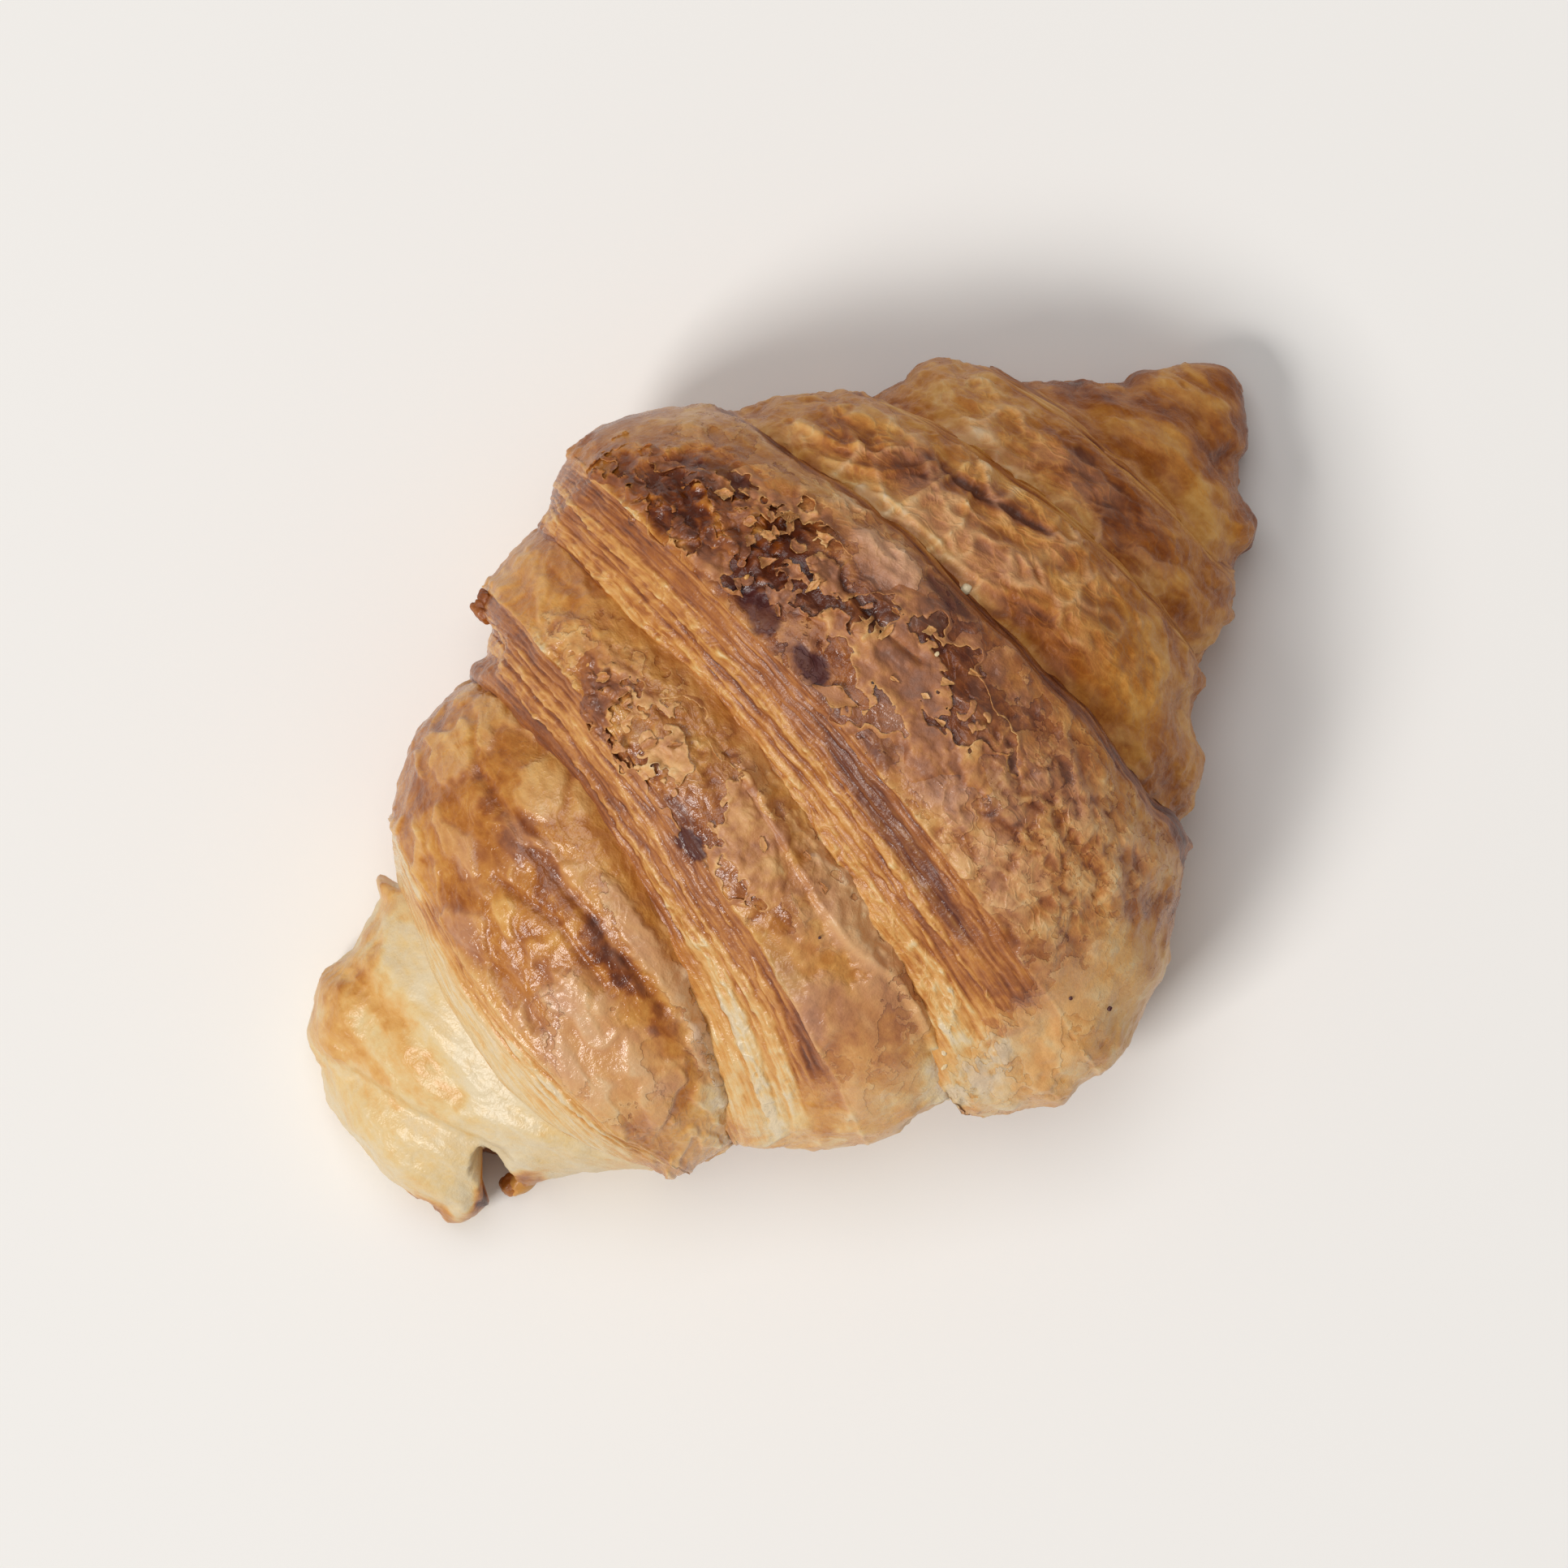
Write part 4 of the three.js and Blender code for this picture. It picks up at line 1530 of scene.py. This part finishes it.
@dataclass
class LooseFlakes(SmallSolids):
    """Thin flakes of skin that have come away and curl up on one side."""

    seed: int = SEED + 40
    thickness: float = 0.05
    rest: float = 0.12
    tones: tuple[float, float] = (0.40, 0.58)
    zones: tuple[FlakeZone, ...] = (
        FlakeZone(20.5, 24, 22, 11, 12, 0.7, 0.9),
        FlakeZone(-8, 24, 20, 7, 4, 0.8, 0.6),
        FlakeZone(13.5, 5.5, 2, 2, 1, 1.2, 0.8),
        FlakeZone(24, 0, 18, 14, 8, 0.6, 0.5),
        FlakeZone(-7, -6, 18, 5, 3, 0.6, 0.4),
    )

    def build(self) -> bpy.types.Object:
        """Makes all the flakes as one mesh.

        Returns:
            The piece.
        """
        rng = np.random.default_rng(self.seed)
        noise = GradientNoise(self.seed)
        zones = [zone for zone in self.zones for _ in range(zone.count)]
        bm, flakes = self.balls(len(zones), 3)
        shades = np.zeros(flakes.shape[:2])
        for number, zone in enumerate(zones):
            flakes[number], shades[number] = self.flake(flakes[number], zone, rng, noise, number)
        read = {"bake": shades, "skin": np.full_like(shades, 0.4),
                "gloss": np.full_like(shades, 0.3)}
        return self.piece("loose_flakes", bm, flakes, read)

    def flake(self, ball: Array, zone: FlakeZone, rng: np.random.Generator,
              noise: GradientNoise, number: int) -> tuple[Array, Array]:
        """Turns a ball into one flake that lies on the crust.

        Args:
            ball: The ball's points, on a radius of 1.
            zone: Where the flake lies.
            rng: What places it.
            noise: What frays and crumples it.
            number: Which flake it is.

        Returns:
            Its points in millimetres and their browning.
        """
        spot = 0.5 * np.sqrt(rng.random()) * np.exp(2j * math.pi * rng.random())
        centre = np.array([zone.x + spot.real * zone.width, zone.y + spot.imag * zone.length])
        size = zone.size * rng.uniform(0.6, 1.4)
        stretch = rng.uniform(1.1, 1.7)
        spin, curl = rng.uniform(0, 2 * math.pi, 2)
        angle = np.arctan2(ball[:, 1], ball[:, 0])
        out = np.hypot(ball[:, 0], ball[:, 1])
        corner = 2.0 * math.pi / rng.integers(3, 6)
        angular = math.cos(0.5 * corner) / np.cos(angle % corner - 0.5 * corner)
        own = np.full(len(angle), 5.0 * number)
        ragged = noise.smooth(np.column_stack([np.cos(angle), np.sin(angle), own]), 0.7, 4, 0.75)
        reach = out * size * angular * (1.3 + 0.8 * ragged)
        along, across = reach * np.cos(angle) * stretch, reach * np.sin(angle) / stretch
        x = centre[0] + along * math.cos(spin) - across * math.sin(spin)
        y = centre[1] + along * math.sin(spin) + across * math.cos(spin)
        curled = np.maximum(np.cos(angle - curl), 0.0) * out ** 2
        rolled = (reach * np.sin(angle) / size) ** 2
        lift = zone.lift * (rng.uniform(0.3, 1.1) * curled + rng.uniform(0.0, 0.6) * rolled)
        crumple = noise.smooth(np.column_stack([x, y, np.full(len(x), 3.0 * number)]), 1.8, 2)
        level = self.ground.under(np.column_stack([x, y])) + self.rest + lift + 0.2 * crumple
        z = level + self.thickness * ball[:, 2]
        shade = rng.uniform(*self.tones) - 0.12 * (curled + rolled) + 0.15 * crumple
        return np.column_stack([x, y, z]), shade


@dataclass(frozen=True)
class Lump:
    """A small solid on the crust: where it sits, its half sizes, and its tones."""

    x: float
    y: float
    sizes: tuple[float, float, float]
    tone: float
    burnt: float = 0.0
    z: float | None = None


@dataclass
class Lumps(SmallSolids):
    """Small rounded solids, such as crumbs."""

    name: str
    lumps: tuple[Lump, ...]
    rough: float = 0.35
    subdivisions: int = 3
    seed: int = SEED + 50

    def build(self) -> bpy.types.Object:
        """Makes the solids as one mesh.

        Returns:
            The piece.
        """
        bm, solids = self.balls(len(self.lumps), self.subdivisions)
        tone, burnt = np.zeros(solids.shape[:2]), np.zeros(solids.shape[:2])
        noise = GradientNoise(self.seed)
        for number, lump in enumerate(self.lumps):
            ball = solids[number]
            knobbly = 1.0 + self.rough * noise.smooth(ball + 7.0 * number, 1.1, 3, 0.6)
            level = lump.z
            if level is None:
                level = self.ground.under(np.array([[lump.x, lump.y]]))[0] + 0.5 * lump.sizes[2]
            centre = np.array([lump.x, lump.y, level])
            solids[number] = ball * knobbly[:, None] * np.array(lump.sizes) + centre
            tone[number] = lump.tone + 0.3 * (1.0 - knobbly)
            burnt[number] = lump.burnt
        read = {"bake": tone, "char": burnt, "gloss": np.full_like(tone, 0.5)}
        return self.piece(self.name, bm, solids, read)


CRUMBS = (
    Lump(34.5, 3.0, (0.75, 0.65, 0.5), -0.3),
    Lump(25.7, 0.0, (0.35, 0.3, 0.25), 0.05),
    Lump(-12.5, -37.5, (0.5, 0.3, 0.12), 0.05),
    Lump(-11.2, -36.2, (0.3, 0.4, 0.10), 0.05),
    Lump(16.2, 24.6, (0.4, 0.3, 0.3), 0.30),
)
SPECKS = (
    Lump(7.8, -48.0, (0.35, 0.3, 0.15), 0.95, 0.9),
    Lump(5.3, -43.2, (0.25, 0.3, 0.12), 0.95, 0.8),
    Lump(-11.2, -14.0, (0.2, 0.2, 0.1), 0.95, 0.8),
)
KNOB = (
    Lump(-8.9, 48.0, (0.9, 1.5, 1.1), 0.70, 0.1, 24.0),
    Lump(-10.4, 47.2, (1.1, 2.0, 1.1), 0.66, 0.0, 23.2),
)
TORN_TAB = (
    Lump(-61.6, -7.8, (3.4, 1.6, 1.9), 0.36, 0.0, 3.6),
    Lump(-63.9, -7.2, (1.5, 1.6, 1.5), 0.56, 0.0, 3.2),
    Lump(-59.6, -8.4, (2.4, 1.5, 1.8), 0.30, 0.0, 3.8),
)


# ------------------------------------------------------------------ finishes


class Nodes:
    """A short way to lay out a material's nodes."""

    def __init__(self, name: str) -> None:
        """Starts an empty material.

        Args:
            name: The material's name.
        """
        self.material = bpy.data.materials.new(name)
        self.material.use_nodes = True
        self.tree = self.material.node_tree
        self.tree.nodes.clear()

    def add(self, kind: str, inputs: dict | None = None, **settings: object) -> bpy.types.Node:
        """Adds a node.

        Args:
            kind: The node's type name.
            inputs: Values or sockets for its inputs, by name or by number.
            **settings: Its own settings.

        Returns:
            The node.
        """
        node = self.tree.nodes.new(kind)
        for label, value in settings.items():
            setattr(node, label, value)
        for label, value in (inputs or {}).items():
            if isinstance(value, bpy.types.NodeSocket):
                self.tree.links.new(value, node.inputs[label])
            else:
                node.inputs[label].default_value = value
        return node

    def field(self, name: str) -> bpy.types.NodeSocket:
        """Reads a field kept on the vertices."""
        return self.add("ShaderNodeAttribute", attribute_name=name).outputs["Fac"]

    def math(self, operation: str, *values: object) -> bpy.types.NodeSocket:
        """Adds a sum, product or other operation on values or sockets."""
        return self.add("ShaderNodeMath", dict(enumerate(values)), operation=operation).outputs[0]

    def about(self, value: object, strength: object) -> bpy.types.NodeSocket:
        """Centres a pattern of 0 to 1 on 0 and scales it."""
        return self.math("MULTIPLY", self.math("SUBTRACT", value, 0.5), strength)

    def mix(self, share: object, first: object, second: object) -> bpy.types.NodeSocket:
        """Mixes two colours, all the second where share is 1."""
        colours = {0: share, 6: first, 7: second}
        return self.add("ShaderNodeMix", colours, data_type="RGBA").outputs[2]

    def ramp(self, share: object, stops: Sequence[tuple[float, Colour]]) -> bpy.types.NodeSocket:
        """Maps a value to a colour.

        Args:
            share: The value, 0 to 1.
            stops: Places and colours.

        Returns:
            The colour.
        """
        node = self.add("ShaderNodeValToRGB", {0: share})
        elements = node.color_ramp.elements
        while len(elements) < len(stops):
            elements.new(0.5)
        for element, (place, colour) in zip(elements, stops):
            element.position = place
            element.color = (*colour, 1.0)
        return node.outputs[0]

    def noise(self, size: float, detail: float = 3.0, rough: float = 0.6) -> bpy.types.NodeSocket:
        """Adds a cloudy pattern.

        Args:
            size: The width of its largest lumps, in millimetres.
            detail: How many finer octaves it has.
            rough: How strong those are.

        Returns:
            The pattern's value.
        """
        place = self.add("ShaderNodeTexCoord").outputs["Object"]
        inputs = {"Vector": place, "Scale": 1.0 / (size * MM), "Detail": detail, "Roughness": rough}
        return self.add("ShaderNodeTexNoise", inputs).outputs["Fac"]

    def unrolled(self, across: float, length: float, **inputs: float) -> bpy.types.NodeSocket:
        """Adds a cloudy pattern on the dough laid flat, drawn out round the roll.

        Args:
            across: The width of its largest lumps along the roll, in millimetres.
            length: Their length round the roll, in millimetres.
            **inputs: The pattern's own settings.

        Returns:
            The pattern's value.
        """
        place = self.add("ShaderNodeCombineXYZ", {
            0: self.math("DIVIDE", self.field("along"), across),
            1: self.math("DIVIDE", self.field("around"), length),
        }).outputs[0]
        inputs = {"Vector": place, "Scale": 1.0, **inputs}
        return self.add("ShaderNodeTexNoise", inputs).outputs["Fac"]

    def creases(self, size: float, length: float, detail: float,
                sharp: float) -> bpy.types.NodeSocket:
        """Adds thin curled lines, drawn out round the roll.

        Args:
            size: About how far apart they are, in millimetres.
            length: How far apart they are round the roll.
            detail: How many finer octaves bend them.
            sharp: How thin they are.

        Returns:
            The pattern: 1 on the lines, 0 between them.
        """
        pattern = self.unrolled(size, length, Detail=detail, Distortion=0.8)
        away = self.math("ABSOLUTE", self.math("SUBTRACT", pattern, 0.5))
        line = self.add("ShaderNodeMath", {0: 1.0, 1: self.math("MULTIPLY", away, sharp)},
                        operation="SUBTRACT", use_clamp=True).outputs[0]
        return self.math("MULTIPLY", line, line)


@dataclass(frozen=True)
class CrustFinish:
    """Baked, egg-washed dough from raw cream to burnt.

    The sizes of the grain, clouds, frays and pores, the width and length of the streaks,
    threads and crests, and the depth of the relief are in millimetres.
    """

    name: str = "baked_crust"
    tones: tuple[tuple[float, tuple[int, int, int]], ...] = (
        (0.00, (223, 203, 166)),
        (0.12, (224, 192, 135)),
        (0.25, (220, 168, 96)),
        (0.38, (205, 143, 68)),
        (0.50, (183, 115, 46)),
        (0.62, (155, 86, 28)),
        (0.75, (123, 60, 18)),
        (0.88, (88, 38, 17)),
    )
    # the pale pinkish skin colour is partly the dull skin's own and partly painted sheen of the egg
    # wash
    skin: tuple[int, int, int] = (210, 163, 134)
    skin_share: float = 0.42
    burnt: tuple[int, int, int] = (66, 20, 25)
    burnt_share: float = 0.9
    plateaus: tuple[float, ...] = (0.72, 0.62, 0.52, 0.44)
    # painted shade just below each torn edge of the skin, and painted highlight just above it
    foot: float = 0.16
    lip: float = 0.14
    rough_dull: float = 0.62
    rough_glossy: float = 0.16
    specular: float = 0.5
    coat: float = 0.05
    coat_rough: float = 0.2
    grain: float = 0.9
    cloud: float = 3.0
    fray: float = 1.1
    pore: float = 0.45
    streak: tuple[float, float] = (0.38, 6.0)
    thread: tuple[float, float] = (0.17, 3.0)
    crest: tuple[float, float] = (2.6, 4.2)
    relief: float = 0.11
    foot_width: float = 0.035
    lip_width: float = 0.030
    edge_width: float = 0.005

    def tear_stops(self, plateaus: tuple[float, ...], foot: float,
                   lip: float) -> list[tuple[float, Colour]]:
        """Lays out a profile over the torn field: plateaus with a mark at each ragged edge; in
        colour the mark is painted light, a shadow below the edge and a highlight above it.

        Args:
            plateaus: The values on each layer of skin, from the lowest.
            foot: What is added just below an edge, in colour a painted shadow.
            lip: What is taken away just above it, in colour a painted highlight.

        Returns:
            Stops for a ramp.
        """
        stops = []
        for level, below, above in zip(TEARS, plateaus, plateaus[1:]):
            edge = 0.5 + 0.5 * level
            stops += [(edge - self.foot_width, below), (edge - self.edge_width, below + foot),
                      (edge + self.edge_width, above - lip), (edge + self.lip_width, above)]
        return [(place, (value, value, value)) for place, value in stops]

    def material(self) -> bpy.types.Material:
        """Builds the node material.

        Returns:
            The material.
        """
        nodes = Nodes(self.name)
        grain = nodes.noise(self.grain, 3.0, 0.6)
        cloud = nodes.noise(self.cloud, 4.0, 0.6)
        streaks = nodes.unrolled(*self.streak, Detail=3.0)
        on_layers = nodes.field("layer")
        ripped = nodes.field("ripped")
        fine = nodes.about(grain, 0.14)
        lines = nodes.about(streaks, nodes.math("MULTIPLY_ADD", on_layers, 0.24, 0.06))
        threads = nodes.unrolled(*self.thread, Detail=3.0)
        threads = nodes.about(threads, nodes.math("MULTIPLY", on_layers, 0.20))
        lines = nodes.math("ADD", lines, threads)
        patches = nodes.math("ADD", nodes.about(cloud, 0.16), nodes.math("ADD", fine, lines))

        # crests drawn in the skin, raised and paler: partly the pale of stretched skin, partly
        # painted highlight on the crests
        crest = nodes.creases(*self.crest, 2.0, 5.0)
        crest = nodes.math("MULTIPLY", crest, nodes.field("crinkle"))
        patches = nodes.math("MULTIPLY_ADD", crest, -0.16, patches)

        # the skin's tears, frayed finer than the mesh; in colour each ragged edge has a painted
        # shadow at its foot and a painted highlight on its lip
        frayed = nodes.about(nodes.noise(self.fray, 4.0, 0.65), 0.16)
        tear = nodes.math("ADD", nodes.field("tear"), frayed)
        shade = nodes.ramp(tear, self.tear_stops(self.plateaus, self.foot, self.lip))
        rise = nodes.ramp(tear, self.tear_stops((0.0, 0.33, 0.66, 1.0), 0.0, -0.12))
        plates = nodes.about(shade, ripped)

        tone = nodes.math("ADD", nodes.field("bake"), nodes.math("ADD", patches, plates))
        colour = nodes.ramp(tone, tuple((place, linear(c)) for place, c in self.tones))
        skin = nodes.math("MULTIPLY", nodes.math("MULTIPLY", rise, ripped), 0.7)
        skin = nodes.math("ADD", nodes.field("skin"), skin)
        skin = nodes.math("MULTIPLY", skin, self.skin_share)
        colour = nodes.mix(skin, colour, (*linear(self.skin), 1.0))
        burnt = nodes.math("MULTIPLY", nodes.field("char"), self.burnt_share)
        colour = nodes.mix(burnt, colour, (*linear(self.burnt), 1.0))
        gloss = nodes.math("ADD", nodes.field("gloss"), nodes.math("ADD", patches, plates))
        rough = nodes.add("ShaderNodeMapRange", {
            "Value": gloss, "To Min": self.rough_dull, "To Max": self.rough_glossy,
        }).outputs["Result"]
        pores = nodes.noise(self.pore, 2.0, 0.6)
        relief = nodes.math("MULTIPLY_ADD", pores, 0.4, grain)
        relief = nodes.math("MULTIPLY_ADD", streaks, on_layers, relief)
        relief = nodes.math("MULTIPLY_ADD", nodes.math("MULTIPLY", rise, ripped), 3.0, relief)
        relief = nodes.math("MULTIPLY_ADD", crest, 1.0, relief)
        bump = nodes.add("ShaderNodeBump", {
            "Height": relief, "Distance": self.relief * MM, "Strength": 1.0,
        })
        shader = nodes.add("ShaderNodeBsdfPrincipled", {
            "Base Color": colour, "Roughness": rough, "Normal": bump.outputs["Normal"],
            "Specular IOR Level": self.specular,
            "Coat Weight": self.coat, "Coat Roughness": self.coat_rough,
        })
        nodes.add("ShaderNodeOutputMaterial", {"Surface": shader.outputs[0]})
        return nodes.material


# ------------------------------------------------------------------ the studio


@dataclass(frozen=True)
class Lamp:
    """A square soft lamp: its place and side in metres, its power in watts, its colour."""

    name: str
    place: tuple[float, float, float]
    size: float
    power: float
    colour: Colour


@dataclass(frozen=True)
class Studio:
    """A pale floor, soft light and a camera that looks straight down.

    The camera's sizes are in millimetres: the width of what it sees, the level that it sees it
    at, its distance from that, and the point over which it hangs.
    """

    field: float = 206.7
    view_level: float = 22.0
    distance: float = 1200.0
    roll: float = 46.8
    centre: tuple[float, float] = (0.1, 2.9)
    sensor: float = 36.0
    clip: tuple[float, float] = (0.05, 50.0)
    lamps: tuple[Lamp, ...] = (
        Lamp("window", (-3.5, 0.5, 3.9), 1.6, 169.0, (1.0, 0.99, 0.97)),
        Lamp("fill", (0.6, 1.2, 4.1), 2.4, 52.0, (0.97, 0.98, 1.0)),
    )
    lit_point: tuple[float, float, float] = (0.0, 0.0, 0.02)
    sky: Colour = (1.0, 0.99, 0.98)
    sky_strength: float = 0.26
    floor_radius: float = 6.0
    floor_cloud: float = 300.0
    floor_shade: float = 0.985
    floor_colour: tuple[int, int, int] = (246, 243, 239)

    def camera(self, middle: float) -> None:
        """Makes the camera over the croissant.

        Args:
            middle: Where the middle of the CAD box lies in the dough's own frame.
        """
        data = bpy.data.cameras.new("camera")
        data.sensor_width = self.sensor
        data.lens = self.sensor * self.distance / self.field
        data.clip_start, data.clip_end = self.clip
        camera = linked("camera", data)
        x, y = self.centre
        camera.location = Vector((x - middle, y, self.view_level + self.distance)) * MM
        camera.rotation_euler = (0.0, 0.0, -math.radians(self.roll))
        bpy.context.scene.camera = camera

    def light(self, lamp: Lamp) -> None:
        """Hangs a lamp that points at the croissant.

        Args:
            lamp: Where it hangs, how large and how bright it is.
        """
        data = bpy.data.lights.new(lamp.name, "AREA")
        data.size, data.energy, data.color = lamp.size, lamp.power, lamp.colour
        hung = linked(lamp.name, data)
        hung.location = lamp.place
        towards = Vector(self.lit_point) - Vector(lamp.place)
        hung.rotation_euler = towards.to_track_quat("-Z", "Y").to_euler()

    def floor(self) -> None:
        """Lays the pale floor."""
        bm = bmesh.new()
        bmesh.ops.create_circle(bm, cap_ends=True, radius=self.floor_radius, segments=64)
        floor = linked("floor", as_mesh("floor", bm))
        nodes = Nodes("pale_floor")
        pale = (*linear(self.floor_colour), 1.0)
        greyer = (*(self.floor_shade * channel for channel in pale[:3]), 1.0)
        colour = nodes.mix(nodes.noise(self.floor_cloud), pale, greyer)
        shader = nodes.add("ShaderNodeBsdfPrincipled", {"Base Color": colour, "Roughness": 0.9})
        nodes.add("ShaderNodeOutputMaterial", {"Surface": shader.outputs[0]})
        floor.data.materials.append(nodes.material)

    def build(self, middle: float) -> None:
        """Sets up camera, lights, world and floor.

        Args:
            middle: Where the middle of the CAD box lies in the dough's own frame.
        """
        self.camera(middle)
        for lamp in self.lamps:
            self.light(lamp)
        world = bpy.data.worlds.new("studio")
        world.use_nodes = True
        background = world.node_tree.nodes["Background"]
        background.inputs["Color"].default_value = (*self.sky, 1.0)
        background.inputs["Strength"].default_value = self.sky_strength
        bpy.context.scene.world = world
        bpy.context.scene.view_settings.view_transform = "Standard"
        self.floor()


def main() -> None:
    """Builds the croissant and its studio."""
    logging.basicConfig(level=logging.INFO, format="%(name)s: %(message)s")
    tips = [sizes.left[1] for sizes in TURNS] + [sizes.right[1] for sizes in TURNS]
    low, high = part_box(NODE)
    middle = 0.5 * (min(tips) + max(tips)) - 0.5 * (low.x + high.x) / MM
    Studio().build(middle)
    crust = CrustFinish().material()
    duller = {shine: CrustFinish(f"crust_{shine:.2f}", specular=shine).material()
              for shine in sorted(set(SHINE.values()))}
    rough_look = 1.0
    ground = Ground()
    pieces = []
    for number, sizes in enumerate(TURNS):
        turn = DoughTurn(sizes, BAKES[sizes.name], SEED + number, middle, ground)
        turn.spacing *= rough_look * sizes.coarser
        turn.cut_spacing *= rough_look * sizes.coarser
        turn.skinned = sizes.name in TORN_TURNS
        made = [turn.build()]
        if turn.skinned:
            made.append(TornSkin(turn, SKIN_SEED + number).build())
        for piece in made:
            piece.data.materials.append(duller.get(SHINE.get(sizes.name), crust))
        pieces += made
    small = (
        LooseFlakes(ground, middle),
        Lumps(ground, middle, "loose_crumbs", CRUMBS),
        Lumps(ground, middle, "dark_specks", SPECKS),
        Lumps(ground, middle, "browned_knob", KNOB, 0.6, 4),
        Lumps(ground, middle, "torn_tab", TORN_TAB, 0.4, 4),
    )
    for kind in small:
        pieces.append(kind.build())
        pieces[-1].data.materials.append(crust)
    for piece in pieces:
        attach(piece, BODY)
        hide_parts(NODE)
        log.info("%s: %d faces", piece.name, len(piece.data.polygons))


if __name__ == "__main__":
    main()
